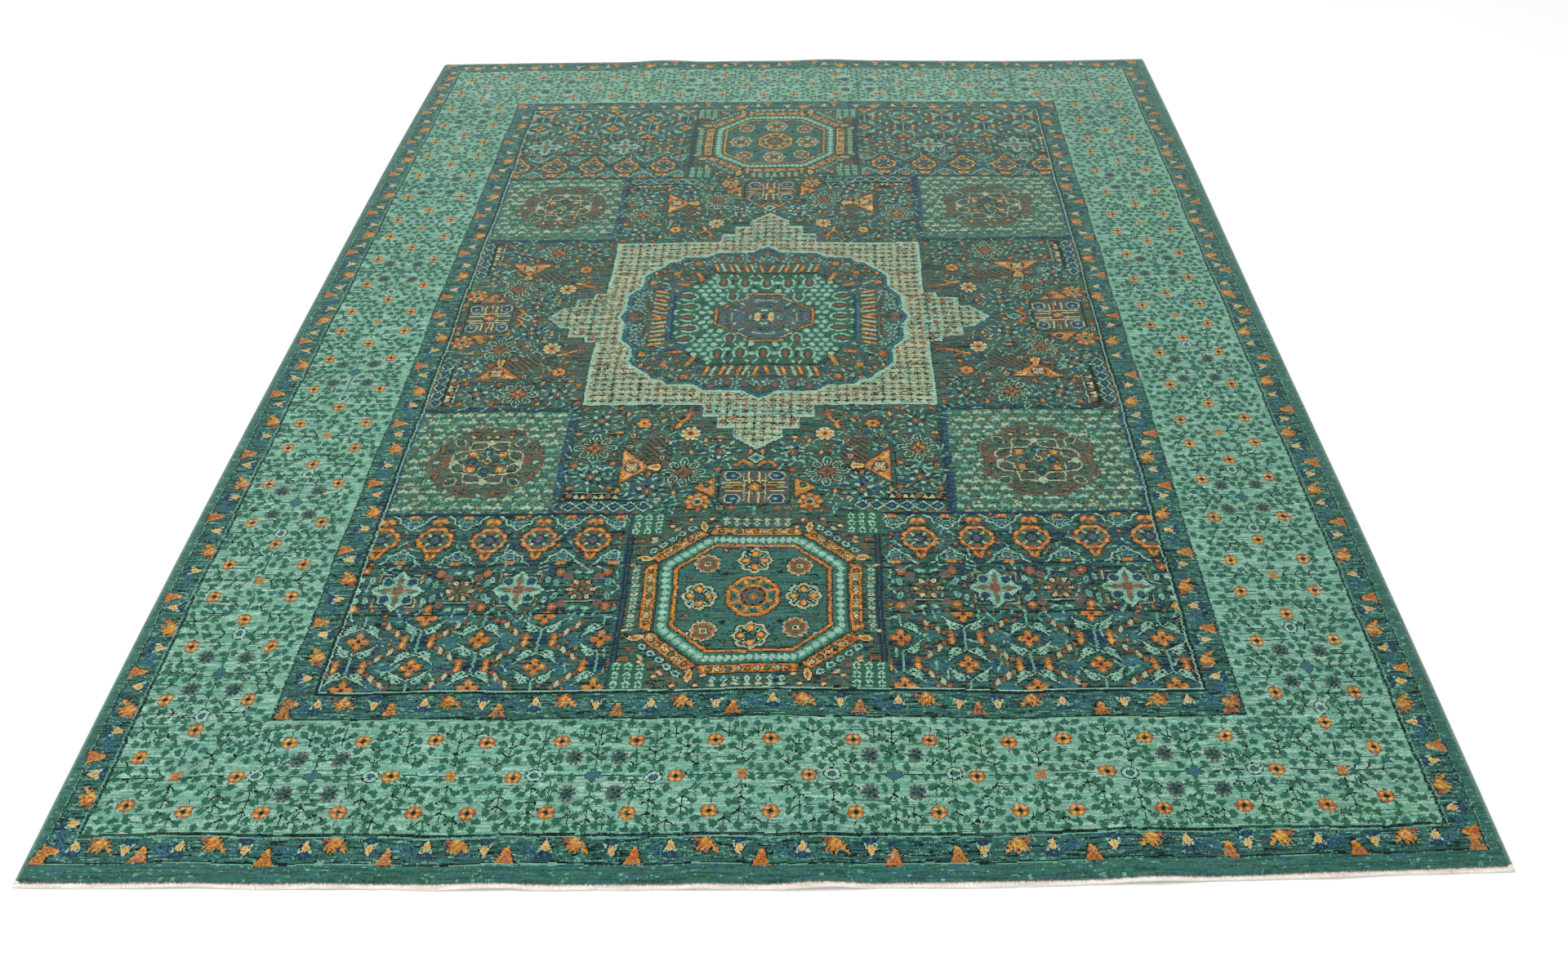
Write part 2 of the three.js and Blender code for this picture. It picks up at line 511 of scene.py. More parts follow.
CROSSES = {  # where the small crosses stand along each strip, in millimetres
    "near": (183, 660, 1171, 1701, 2218), "far": (183, 655, 1171, 1705, 2218),
    "left": (200, 634, 1113, 1574, 2034, 2492, 2966), "right": (200, 634, 1113, 1574, 2034, 2492, 2966),
}
DIAMONDS = {
    "near": (422, 913, 1438, 1964), "far": (420, 913, 1438, 1964),
    "left": (417, 869, 1340, 1793, 2256, 2732), "right": (417, 869, 1340, 1793, 2256, 2732),
}
MIDDLE = {"near": 2966, "far": 200, "left": 181, "right": 2218}
INWARD = {"near": -1, "far": 1, "left": 1, "right": -1}
leaf_spots = []


def place_on(side, p, q):
    """Chart place of p millimetres along a side's strip and q inwards from its middle line."""
    q = MIDDLE[side] + q * INWARD[side]
    spot = (across(p), along(q)) if side in ("near", "far") else (across(q), along(p))
    return tuple(np.floor(s) + 0.5 for s in spot)


def twig(side, p, q0, q1, arms):
    """A straight stem from q0 to q1 off the middle line, with pairs of short slanting arms."""
    line([place_on(side, p, q0), place_on(side, p, q1)], "k")
    sign = np.sign(q1 - q0)
    for q in arms:
        for hand in (-1, 1):
            tip = place_on(side, p + hand * 13, sign * (q + 9))
            line([place_on(side, p, sign * q), tip], "k")
            leaf_spots.append(place_on(side, p + hand * 17, sign * (q + 13)))
    leaf_spots.append(place_on(side, p, q1))


TWIGS = (  # share of the way from a cross to a diamond, first and last distance off the middle, arms
    (0.00, 10, 100, (20, 44, 70)), (0.38, 34, 80, (40, 58)), (0.60, 14, 104, (24, 48, 72)),
    (1.00, 18, 104, (40, 62, 84)), (0.88, 66, 104, (76,)), (0.47, 80, 108, (86,)),
    (0.30, 14, 40, (20,)), (0.72, 14, 40, (22,)), (0.10, 76, 106, (84,)),
)
FLOWERS = (
    (0.44, 0, ROSETTE), (0.585, 0, RING), (0.19, 72, ROSETTE), (0.19, -72, ROSETTE),
    (0.73, 72, ROSETTE), (0.73, -72, ROSETTE), (0.84, 37, GREY_ROSETTE), (0.84, -37, GREY_ROSETTE),
)


def flower(layers, u, v, turn=0):
    motif("j oval 8.2 7.6\n" + layers, u, v, turn=turn)


def wide_strip(side):
    """Stems, then flowers, from each cross to the next diamond and back."""
    stations = sorted([(p, 0) for p in CROSSES[side]] + [(p, 1) for p in DIAMONDS[side]])
    spans = [(a, b) if kind == 0 else (b, a) for (a, kind), (b, _) in zip(stations[:-1], stations[1:])]
    corner = stations[0][0], stations[-1][0]
    for cross, diamond in spans:
        step = diamond - cross
        for part, q0, q1, arms in TWIGS:
            for hand in (-1, 1):
                if cross not in corner or part > 0.3 or hand < 0:
                    twig(side, cross + step * part, hand * q0, hand * q1, arms)
        for start, end in ((0.10, 0.34), (0.66, 0.93)):
            line([place_on(side, cross + step * start, 0), place_on(side, cross + step * end, 0)], "k")
    turn = 90 if side in ("left", "right") else 0
    for cross, diamond in spans:
        for part, q, layers in FLOWERS:
            if cross in corner and part < 0.2 and q > 0:
                continue
            p = cross + (diamond - cross) * part
            if abs(q) == 72:
                line([place_on(side, p, q - 24), place_on(side, p, q + 24)], "k")
            flower(layers, *place_on(side, p + rng.uniform(-2, 2), q + rng.uniform(-2, 2)), turn)
        flower(CROSS_FLOWER, *place_on(side, cross, 0))
        flower(BLUE_DIAMOND, *place_on(side, diamond, 0), turn)


def corner_bush(side_x, side_y):
    """The corner's own rosette outside the cross, and a branching twig inside it."""
    u, v = across(MIDDLE[side_x]), along(MIDDLE[side_y])
    du, dv = -INWARD[side_x], -INWARD[side_y]
    line([(u + 8 * du, v + 8 * dv), (u + 26 * du, v + 26 * dv)], "k")
    flower(ROSETTE, u + 27 * du, v + 26 * dv)
    for a, b in ((22, 0), (0, 22), (-26, -26)):
        line([(u + a * du * 0.3, v + b * dv * 0.3), (u + a * du, v + b * dv)], "k")
    for a, b in ((-26, -14), (-14, -26), (-36, -30), (-30, -36)):
        line([(u - 22 * du, v - 22 * dv), (u + a * du, v + b * dv)], "k")
        leaf_spots.append((u + a * du, v + b * dv))


def grow_leaves():
    """A leaf at each twig's tip, then leaves wherever the wide border's ground is free."""
    inner = plan_box("inner border")
    taken = (chart != CODE["j"]) & (chart != CODE["k"])
    taken[int(inner[1]):int(inner[3]), int(inner[0]):int(inner[2])] = True
    spots = list(leaf_spots)
    rows = np.arange(wide[1] + 6, wide[3] - 5, 9.2)
    for r, v in enumerate(rows):
        for u in np.arange(wide[0] + 6 + 5.2 * (r % 2), wide[2] - 5, 10.4):
            spots.append((u + rng.uniform(-1.2, 1.2), v + rng.uniform(-0.8, 0.8)))
    grown_count = 0
    for u, v in spots:
        for _ in range(5):
            leaf = np.rot90(FAN_LEAVES[rng.integers(4)], rng.integers(4))
            y0, x0 = int(v - leaf.shape[0] / 2), int(u - leaf.shape[1] / 2)
            y1, x1 = y0 + leaf.shape[0], x0 + leaf.shape[1]
            room = taken[y0 - 1:y1 + 1, x0 - 1:x1 + 1]
            if room.size and room.mean() < 0.045:
                chart[y0:y1, x0:x1][leaf] = CODE["g"]
                taken[y0:y1, x0:x1] |= leaf
                grown_count += 1
                break
            u, v = u + rng.uniform(-3, 3), v + rng.uniform(-2.4, 2.4)
    return grown_count


for side in ("far", "left", "right", "near"):
    wide_strip(side)
for side_x in ("left", "right"):
    for side_y in ("near", "far"):
        corner_bush(side_x, side_y)
print("leaves in the wide border:", grow_leaves())
streaks(box_part(wide), "j>m 0.27 14, h 0.07 16, g>h 0.08 4")
# Painted sheen: the far strip's leaves and ground are made paler, for the light the pile catches at the far
# end, seen at a low angle.
far_strip = chart[int(wide[1]):int(plan_box("inner border")[1]), int(wide[0]):int(wide[2])]
streaks(far_strip, "g>h 0.65 5, j>m 0.32 16")
streaks(box_part(wide), "g>t 0.2 4")
rule(*wide, "d", 2)
streaks(box_part(grown(wide, 1)), "d>k 0.62 30")
rule(*grown(wide, 2), "j")
streaks(box_part(grown(wide, 2)), "j>d 0.03 30")
narrow_ground("inner border")
narrow_border("inner border", "field")
shade_round(chart, 0.35)
inner, field = plan_box("inner border"), plan_box("field")
near_strip = chart[int(field[3]):int(inner[3]), int(inner[0]):int(inner[2])]
streaks(near_strip, "o>r 0.25 2, r>w 0.25 2, n 0.12")
# Painted sheen: at the far end, seen at a low angle, orange turns partly gold and taupe and rust turns
# taupe, so that it looks paler and duller.
far_end = chart[:int(field[1])]
streaks(far_end, "o>y 0.25 2, w 0.14, r>w 0.32 2")
bordered = chart.copy()


# %% [markdown]
# ## The field, quarter by quarter
# The field is the same four times over: a weaver ties one quarter from the chart, then its
# mirror, and then both again upside down. So each part of it is drawn once here, for the left
# near quarter, and laid in all four. Its places are counted in knots from the star's middle,
# x outwards and y towards the rug's end. The real quarters aren't quite alike in size, and their
# lines are moved to where they stand on the real rug.

# %% Quarters of the field
STAR_MM = (1166, 1566)
STRETCH = {  # millimetres from the middle as charted, and as they stand on the rug
    "left": ((0, 420, 793, 3000), (0, 420, 793, 3000)),
    "right": ((0, 420, 793, 3000), (0, 420, 852, 3059)),
    "left row": ((0, 268, 801, 3000), (0, 268, 801, 3000)),
    "right row": ((0, 268, 801, 3000), (0, 268, 844, 3043)),
    "near": ((0, 1216, 3000), (0, 1216, 3000)),
    "far": ((0, 361, 734, 885, 1021, 1216, 3000), (0, 361, 731, 878, 991, 1185, 2969)),
}


class Quarter:
    """Draws on one quarter of the field, in knots from the star's middle."""

    def __init__(self, side, end, row=False, turned=False):
        self.side, self.end, self.row, self.turned = side, end, row, turned
        self.flip_x, self.flip_y = side == "left", end == "far"

    def spot(self, x, y):
        if self.turned:
            x, y = 201 + (y - 172) * 1.0, x * 0.86
        axis = STAR_MM[0] + (8 if self.end == "near" else 2) * self.row
        shift = 8 if self.row else 0
        x_mm = np.interp(x * KNOT + shift, *STRETCH[self.side + (" row" if self.row else "")])
        y_mm = np.interp(y * KNOT, *STRETCH[self.end])
        u = across(axis + (-x_mm if self.flip_x else x_mm))
        v = along(STAR_MM[1] + (-y_mm if self.flip_y else y_mm))
        return u, v

    def pose(self, turn):
        """The turn and the flip that bring a motif drawn upright into this quarter."""
        flip_x, flip_y = self.flip_x, self.flip_y
        if self.turned:
            turn = turn - 90
            flip_x = not flip_x
        return turn + (180 if flip_y else 0), flip_x != flip_y

    def motif(self, layers, x, y, turn=0, scale=1.0):
        turn, flip = self.pose(turn)
        motif(layers, *self.spot(x, y), turn=turn, flip=flip, scale=scale)

    def stamp(self, rows, x, y, turn=0):
        """Stamp rows of letters, turned by a number of quarter turns first."""
        art = np.rot90(np.array([list(row) for row in rows]), turn)
        art = art.T if self.turned else art
        art = art[:, ::-1] if self.flip_x else art
        art = art[::-1] if self.flip_y else art
        stamp(art, *self.spot(x, y))

    def line(self, points, yarn, thick=1.0, closed=False):
        line([self.spot(*p) for p in points], yarn, thick, closed)

    def polygon(self, points, yarn):
        polygon([self.spot(*p) for p in points], yarn)

    def cord(self, points, yarns):
        """A line in several yarns, each over the one before: "k 6.4, r 4.4" gives their widths."""
        for yarn, thick in entries(yarns):
            self.line(points, yarn, float(thick))

    def nested(self, corners, middle, sizes):
        """An outline at several sizes round its middle: "k 1.1, r 0.9" gives yarns and sizes."""
        for yarn, size in entries(sizes):
            self.polygon([[m + (c - m) * float(size) for c, m in zip(corner, middle)]
                          for corner in corners], yarn)

    def scatter(self, layers, places, around=(0, 0), scale=1.0):
        """One motif at several places: "12 3 45" is a place, from `around`, and a turn."""
        for x, y, *turn in entries(places):
            turn = float(turn[0]) if turn else 0
            self.motif(layers, around[0] + float(x), around[1] + float(y), turn, scale)

    def box(self, x0, y0, x1, y1):
        (a, b), (c, d) = self.spot(x0, y0), self.spot(x1, y1)
        return min(a, c), min(b, d), max(a, c), max(b, d)

    def block(self, x0, y0, x1, y1, yarn):
        block(*self.box(x0, y0, x1, y1), yarn)

    def part(self, *corners):
        return box_part(self.box(*corners))


CORNERS = ((-1, -1), (-1, 1), (1, -1), (1, 1))


def quarters(draw, **kinds):
    for end in ("far", "near"):
        for side in ("left", "right"):
            draw(Quarter(side, end, **kinds))


print("the middle of a corner square, in knots:", Quarter("left", "near").spot(291, 265))


# %% [markdown]
# ## Ground of the field
# The field is never one flat colour. Its deep teal wool runs out and is joined with bluer,
# greener, darker and browner lots, always along a row of knots. The brown runs gather in bands
# across the middle of the rug and fade towards its ends.

# %% Ground of the field
def field_ground():
    box = plan_box("field")
    rule(*grown(box, 3), "k", 2)
    block(*box, "d")
    part = box_part(box)
    rows = np.arange(part.shape[0])[:, None]
    middle = np.exp(-((rows / part.shape[0] - 0.5) / 0.2) ** 4)
    patchy = rng.random((part.shape[0] // 5 + 2, part.shape[1] // 34 + 2)).repeat(5, 0).repeat(34, 1)
    patchy = patchy[:part.shape[0], :part.shape[1]]
    streaks(part, "d>w 0.34 18", inside=patchy < 0.2 + 0.5 * middle)
    streaks(part, "d>t 0.2 26, k 0.2 16, h 0.18, n 0.09 18, b 0.05 12")
    rule(*box, "m")
    rule(*grown(box, -1), "k", 2)


field_ground()


# %% [markdown]
# ## Rows at the ends of the field
# Each end of the field has three rows, on both sides of an octagon: a lattice of orange flowers
# between serrated leaves, large pale stars with small florets between them, and lobed rosettes
# under little arches.

# %% Motifs of the end rows
LOBED_ROSETTE = """
k lobes 20 17.2 @22.5, k diamond 22.4 11, k diamond 10 19, r lobes 18.6 15.8 @22.5, r diamond 21 9.6
r diamond 9 17.8, o lobes 17.6 14.8 @22.5, o diamond 19.4 8.4, o diamond 8 16.6
y oval 2.6 1.5 x8 >14.4 @22.5, r oval 1.4 1 x8 >13.8, y oval 2.4 1 x2 >16.4, r lobes 14.4 11.6 @22.5
k lobes 13.6 10.8 @22.5, t lobes 12.6 10 @22.5, d lobes 11.2 9.2, w oval 4 3.2 x2 >12
h oval 2.8 1.8 x2 >12, r oval 2.8 2.4 x2 >11 @90, w oval 2 1.4 x2 >10.5 @90, s oval 2.6 1.4 x4 >9 @45
k oval 6.4 6.4, n oval 5.6 5.6, b oval 1.4 1.4 x4 >3 @45, r oval 0.9 0.9 x4 >3.4, p oval 1.6 1.6"""
TWIN_LOBES = [
    "...rrrr...rrrr...",
    "..rooyor.royoor..",
    ".rooyyooroooyyor.",
    "rooyyooorooyyooor",
    "royyooorroooyyoor",
    "royoooorrooooyoor",
    "roooor.rrr.roooor",
    ".roor..ror..roor.",
    "..rr...ror...rr..",
    "......rooor......",
    ".......rrr.......",
]
TULIP = [
    ".kkk.......kkk.",
    "krrrk..w..krrrk",
    "kroork.w.krrork",
    ".kroorkwkroork.",
    ".krroorkroorrk.",
    ".kroyorkroyork.",
    ".kroyorgroyork.",
    "..krooogooork..",
    "..krrooroorrk..",
    "...kroorookr...",
    "...kkrorrork...",
    ".....krrrkk....",
    "......kkk......",
]
PAIR_BUD = [
    "..rrr.rrr..",
    ".rooorooor.",
    "rooyorooyor",
    "rooyorooyor",
    "rooooroooor",
    ".rrrr.rrrr.",
]
PALE_STAR = """
k star 27.5 18.5 *4, k star 25.5 18 @45 *4, m star 26 17.2 *4, w star 24.4 16.8 @45 *4
k star 22.4 16.4 @45 *4, m star 25 16 *4, j leaf 12 6 x4 >7, m oval 6.4 6 x4 >15.4 @45
k oval 5 4.6 x4 >15.6 @45, b oval 4.2 3.9 x4 >15.6 @45, n oval 3.4 3.1 x4 >15.8 @45
t oval 1.2 1 x4 >15.8 @45, w leaf 9.4 2.6 x4 >12.5, h leaf 6 1.2 x4 >15, r leaf 4.4 1.2 x4 >9, r box 5 5
w box 4 4, r box 2.4 2.4, h box 1.2 1.2"""
FLORET = """
k lobes 14.4 12.2 @15 *12, w oval 2.8 2.3 x6 >10.8 @30, r oval 1.6 1.2 x6 >11 @30, c oval 2.9 2.3 x6 >11.2
w oval 1.1 0.8 x6 >11.2, w oval 8.6 8.6, h oval 1.6 1.3 x6 >6.2 @15, k oval 0.9 0.9 x6 >6.2 @45
k oval 4 4, w oval 2.8 2.8, r oval 1.4 1.4"""
LATTICE_FLOWER = """
r oval 5.2 3.9 x4 >5, k oval 1.2 1.2 x4 >5.4 @45, o oval 4.2 2.8 x4 >5, y oval 1.6 0.8 x4 >6.2
r leaf 3.6 0.8 x4 >3.6, r oval 2.8 2.8, k oval 1.6 1.6"""
LATTICE_LEAF = [
    ".......k..k..........",
    ".....kkmmkmk.........",
    "....kmmmmjmmkkk......",
    "kk..kmmkkjmmmmk......",
    "mmkkjmmkkkjmmmkk.....",
    "kmmkkkjmmkmmjmmmk....",
    ".kmmmkkmmjmkmmkk.....",
    "..kkmmmjmmmkjmmmk....",
    "....kkmmmmkmmjmmmk...",
    "......kkmmmmmmkk.....",
    "........kkmmjmmmk....",
    "..........kkmmmmmk...",
    "............kmmmk....",
    ".............kmmmk...",
    "..............kkmmk..",
    "................kmmk.",
    "................kkmmk",
    "..................kmm",
    "...................kk",
]
SIDE_LEAF = [
    "...r....",
    "...rr...",
    "..rorr..",
    "..rrorr.",
    ".rrorrr.",
    ".rroorr.",
    ".rooyor.",
    ".rryorrk",
    "k.rrorrk",
    "..roorr.",
    ".rooyor.",
    ".rroyoor",
    ".rooyyor",
    ".royyoor",
    "k.royyor",
    "k.rooyrk",
    "..kroork",
    "...rork.",
    "....rk..",
]


def ringed(outer, inner, size, other, copies=1, away=0, spin=0):
    """Two layers that leave a ring of one yarn round another."""
    return (f"{outer} oval {size} {other} x{copies} >{away} @{spin}, "
            f"{inner} oval {size - 1.7} {other - 1.7} x{copies} >{away} @{spin}")


# %% Lobed rosettes
ROW_IN, ROW_OUT = 126, 378  # where the rows begin and end, outwards from the rug's middle line
ARCH = ((-21, 10), (-14, 5), (-12, -2), (-8, -3), (-5, -7), (0, -11),
        (5, -7), (8, -3), (12, -2), (14, 5), (21, 10))


def lobed_row(q):
    """Rosettes under dark arches, with buds between them, next to the field's middle."""
    y = 386
    for x in (344, 289.5, 237, 185, 134):
        streaks(q.part(max(x - 12, 130), y - 16, x + 12, y + 16), "d>n 0.55 9, t>b 0.5 9")
        for top, hand in ((411.5, 1), (361, -1)):
            points = [(max(x + a, 128), top + b * hand) for a, b in ARCH]
            q.line([(px, py + hand) for px, py in points], "k", 2.8)
            q.line(points, "m", 1.8)
            q.motif("m oval 5.2 4.4, k oval 4.2 3.4, b oval 3.6 2.8", x, top - 2.5 * hand)
            for a in (-1, 1):
                q.motif("j oval 3.4 2.6, n oval 2.2 1.5", x + 6.5 * a, top + 2.5 * hand, -30 * a * hand)
        q.stamp(PAIR_BUD, x, 418.5)
        q.stamp(PAIR_BUD, x, 354)
    for x in (370, 317, 262.5, 211.5, 157.5):
        q.motif(LOBED_ROSETTE, x, y)
        q.stamp(TULIP, x, 409)
        q.stamp(TWIN_LOBES, x, 361)
        for a, b in CORNERS:
            q.motif("h leaf 4 1.4 @45", x + 17 * a, y + 14 * b)
    streaks(q.part(ROW_IN, 350, ROW_OUT, 420), "m>j 0.35 3, o>r 0.22 2, d>k 0.18 5, t>n 0.28 8")


# %% Pale stars and florets
def star_row(q):
    """Pale stars and florets in turn, each in its own square."""
    y = 454.5
    for x in (308.5, 249.5, 191.5):
        q.block(x - 2, 422, x + 2, 484, "n")
        streaks(q.part(x - 3, 422, x + 3, 484), "n>d 0.45 5")
    for x in (278, 161):
        for a, b, yarn in ((-23, -23, "r"), (23, -23, "r"), (-25, 22, "o"), (25, 22, "o")):
            q.motif(f"k box 5.4 5.6, w box 4.6 4.8, r diamond 4.8 5.8, {yarn} diamond 3 3.8, "
                    "s oval 0.9 1.2", x + a, y + b)
        q.scatter("w oval 4.8 4.6, r oval 3.8 3.6, p oval 3 2.8, w oval 1.2 1.2",
                  "-15 -17.5, 15 -17.5, -16 17.5, 16 17.5", (x, y))
        for a, b in CORNERS:
            q.motif("j oval 4.4 2.2, m oval 2.6 1", x + 6 * a, y + 24 * b, 20 * a * b)
            q.motif(ringed("j", "t", 2.6, 4.8), x + 25 * a, y + 9 * b, -18 * a * b)
        q.line([(x - 13, y + 15.5), (x + 13, y + 15.5)], "m")
        q.line([(x - 12, y + 17), (x + 12, y + 17)], "k")
        q.motif(FLORET, x, y)
    for x in (338, 221.5):
        for a, b in CORNERS:
            for inset, yarn, thick in ((0, "k", 2.8), (0.6, "w", 1.3), (-1.4, "s", 1.0)):
                near, side, top = 12 + inset, 21 + inset, 22 + inset
                q.line([(x + near * a, y + top * b), (x + side * a, y + top * b),
                        (x + side * a, y + near * b)], yarn, thick)
        q.motif(PALE_STAR, x, y)
        for a, b in CORNERS:
            q.motif(ringed("m", "t", 2.4, 4.4), x + 27 * a, y + 13 * b)
    q.motif("k diamond 7 7, r diamond 5.5 5.5, y oval 1.5 1.5", 372, 429)
    q.motif("k diamond 7 7, o diamond 5.5 5.5, c oval 1.8 1.8", 374, 478)
    q.scatter("m oval 2.2 3.4", "374 441, 374 456, 374 468")
    streaks(q.part(ROW_IN, 422, ROW_OUT, 485),
            "m>j 0.4 3, s>w 0.28 2, t>n 0.3 8, d>k 0.22 5, o>r 0.2 2")


# %% The flower lattice
def lattice_row(q):
    """Flowers stand high and low in turn, each with a half flower at the row's other edge."""
    high, low = (518, 574), (549.5, 489)  # a flower's own level, and its column's edge
    columns = [(x, *(low if i % 2 else high)) for i, x in enumerate((357, 301.5, 245.5, 190, 134))]
    for x, own, edge in columns:
        for level in (own, edge):
            for centre in (x - 25, x + 25):
                q.motif("t diamond 15 10", centre, level)
                streaks(q.part(centre - 9, level - 6, centre + 9, level + 6), "t>b 0.5 7")
    for x, own, edge in columns:
        other = high[0] + low[0] - own
        away = 1 if other > own else -1
        q.block(x - 6, other - 6, x + 6, other + 6, "n")
        q.line([(x - 17, other), (x + 17, other)], "k")
        q.line([(x, own - 17 * away), (x, own - 30 * away)], "j", 1.8)
        q.line([(x, own + 17 * away), (x, edge - 17 * away)], "j", 1.8)
        for a in (-1, 1):
            q.stamp(SIDE_LEAF, x + 12.4 * a, other)
        for level in (own, edge):
            for a, b in CORNERS:
                if 488 < level + 8 * b < 576 and x + 11 * a > 127:
                    art = LATTICE_LEAF if b < 0 else LATTICE_LEAF[::-1]
                    art = art if a > 0 else [row[::-1] for row in art]
                    q.stamp(art, x + 10 * a, level + 11 * b)
        q.motif(LATTICE_FLOWER, x, own)
        q.motif(LATTICE_FLOWER, x, edge)
    for i, x in enumerate((384.5, 329, 273.5, 218, 162)):
        for y, b in ((504, -1), (534, 1), (565, -1)):
            lean = b if i % 2 else -b
            for step, yarn in enumerate("wswsr", -2):
                size = 4.7 if yarn == "s" else 2.2
                q.motif(f"k leaf {size + 0.9} 3 >0.6, r leaf {size + 0.4} 2.5, {yarn} leaf {size} 2",
                        x + 4.9 * step, y + 4.2 * step * lean, 74 * lean)
    streaks(q.part(ROW_IN, 487, ROW_OUT, 577), "m>j 0.4 3, t>n 0.28 8, d>k 0.16 5, o>r 0.2 2")


# %% Lay the end rows
def end_rows(q):
    """The three rows of a quarter, from the end inwards, and the lines between them."""
    for y, thick in ((349.5, 4), (421, 3.4), (485.5, 2.6)):
        q.block(ROW_IN, y - thick / 2, ROW_OUT, y + thick / 2, "n")
        q.line([(ROW_IN, y), (ROW_OUT, y)], "k", 1.6)
    lattice_row(q)
    star_row(q)
    lobed_row(q)
    for y in (421, 485.5):
        q.line([(ROW_IN, y), (ROW_OUT, y)], "k", 1.6)


quarters(end_rows, row=True)
print("end rows laid")


# %% [markdown]
# ## The octagons
# In the middle of each end stands an octagon: a thin orange frame, a pale ring with ticks on it,
# and eight orange bars outside them, each set with small squares. Inside, four pale lobed stars
# and four rust rosettes go round an orange ring.

# %% Octagon motifs
LOBED_STAR = """
k lobes 18.6 15.6, k diamond 20.5 8, k diamond 8 20.5, s lobes 17.4 14.4, s diamond 19 7.4
s diamond 7.4 19, k lobes 14.6 12, h lobes 13.8 11.2, m oval 3.4 2.6 x4 >9.5 @45, k leaf 5 1.3 x4 >9.5 @45
k oval 5.2 4.4 x4 >8.8, r oval 4.6 3.8 x4 >8.8, o oval 3.8 3 x4 >8.8, y oval 2.2 1.6 x4 >9.2
k diamond 5.6 5.6, b diamond 4.4 4.4, n oval 1.4 1.4"""
RUST_ROSETTE = """
k lobes 14 11.8 *12, s lobes 13 10.8 *12, r lobes 11.4 9.6 *12, o oval 1.9 1.4 x6 >9.6, w oval 8.4 8.4
h oval 1.8 1.4 x4 >6.2 @45, r oval 1.6 1.2 x4 >6.4, c box 2.9 2.9, k box 1.8 1.8, r box 0.8 0.8"""
MIDDLE_RING = """
k lobes 28.6 26.4 @22, r lobes 27.6 25.4 @22, o lobes 26.6 24.4 @22, k lobes 23.2 21.2 @22
h lobes 22.2 20.2 @22, r box 12.5 2.2 x8 >12.5 @22, o box 12.5 1.4 x8 >12.5 @22, k oval 2.6 2.2 x8 >19
b oval 1.6 1.3 x8 >19, o oval 15.2 15.2, r oval 13.4 13.4, k oval 12.6 12.6, w oval 3.4 2.6 x8 >9 @22
p oval 2 1.6 x8 >8, h oval 5.4 5.4, r oval 3.4 3.4, o oval 1.3 1.3"""
LEAF_BUD = "k leaf 9.4 4.6, c leaf 8 3.6, o leaf 6 2.4, w leaf 3 0.9"
RING_BEAD = "k oval 5 4, m oval 4.2 3.2, b oval 2.8 1.9, k oval 1.2 0.8"
SMALL_TREES = [
    "....m.....",
    "...mmm....",
    "..mmgmm...",
    ".mmmgmmm..",
    ".mm.g.mm..",
    "....g.....",
    "..m.g.m...",
    ".mmmgmmm..",
    "..mmkmm...",
    "....k.....",
]
OCTAGON_HALF = (76.7, 70.0)
OCTAGON_SIDE = (40.0, 38.0)


def octagon(cx, cy, out):
    """The corners of an octagon `out` knots outside the orange frame, in turn round it."""
    hx, hy = OCTAGON_HALF[0] + out, OCTAGON_HALF[1] + out * 0.84
    sx, sy = OCTAGON_SIDE[0] + out * 0.41, OCTAGON_SIDE[1] + out * 0.41
    return [(cx + x, cy + y) for x, y in ((-sx, -hy), (sx, -hy), (hx, -sy), (hx, sy),
                                          (sx, hy), (-sx, hy), (-hx, sy), (-hx, -sy))]


def between(a, b, share):
    """The place at a share of the way from a to b."""
    return a[0] + (b[0] - a[0]) * share, a[1] + (b[1] - a[1]) * share


def bar_outline(inner_a, inner_b, outer_a, outer_b, more, less=0.0):
    """A bar's corners, `more` knots longer inside, and drawn in by a share of its height."""
    more = -more / np.hypot(inner_b[0] - inner_a[0], inner_b[1] - inner_a[1])
    a0, a1 = between(inner_a, inner_b, more), between(inner_b, inner_a, more)
    b0, b1 = between(outer_a, outer_b, 0.10), between(outer_b, outer_a, 0.10)
    return [between(a0, b0, less), between(a1, b1, less), between(b1, a1, less), between(b0, a0, less)]


def orange_bar(*ends):
    """One bar of the octagon, wide inside and narrow outside, set with small squares."""
    inner_a, inner_b, outer_a, outer_b = ends
    polygon(bar_outline(*ends, 3), "k")
    core = bar_outline(*ends, 1, 0.08)
    polygon(core, "r")
    polygon([between(corner, between(core[0], core[2], 0.5), 0.05) for corner in core], "o")
    dx, dy = inner_b[0] - inner_a[0], inner_b[1] - inner_a[1]
    lean = np.degrees(np.arctan2(dy, dx))
    count = max(int(np.hypot(dx, dy) / 9.5), 3)
    start, finish = between(inner_a, outer_a, 0.5), between(inner_b, outer_b, 0.5)
    for i in range(count):
        spot = between(start, finish, 0.1 + 0.8 * ((i + 0.5) / count))
        motif(f"r oval 4.4 4, k oval 3.4 3, {'wshc'[i % 4]} oval 2.7 2.3, {'owwh'[i % 4]} box 1 1",
              *spot, turn=lean)
        motif("y diamond 2 2.6", *between(start, finish, 0.1 + 0.8 * (i + 1) / count), turn=lean)


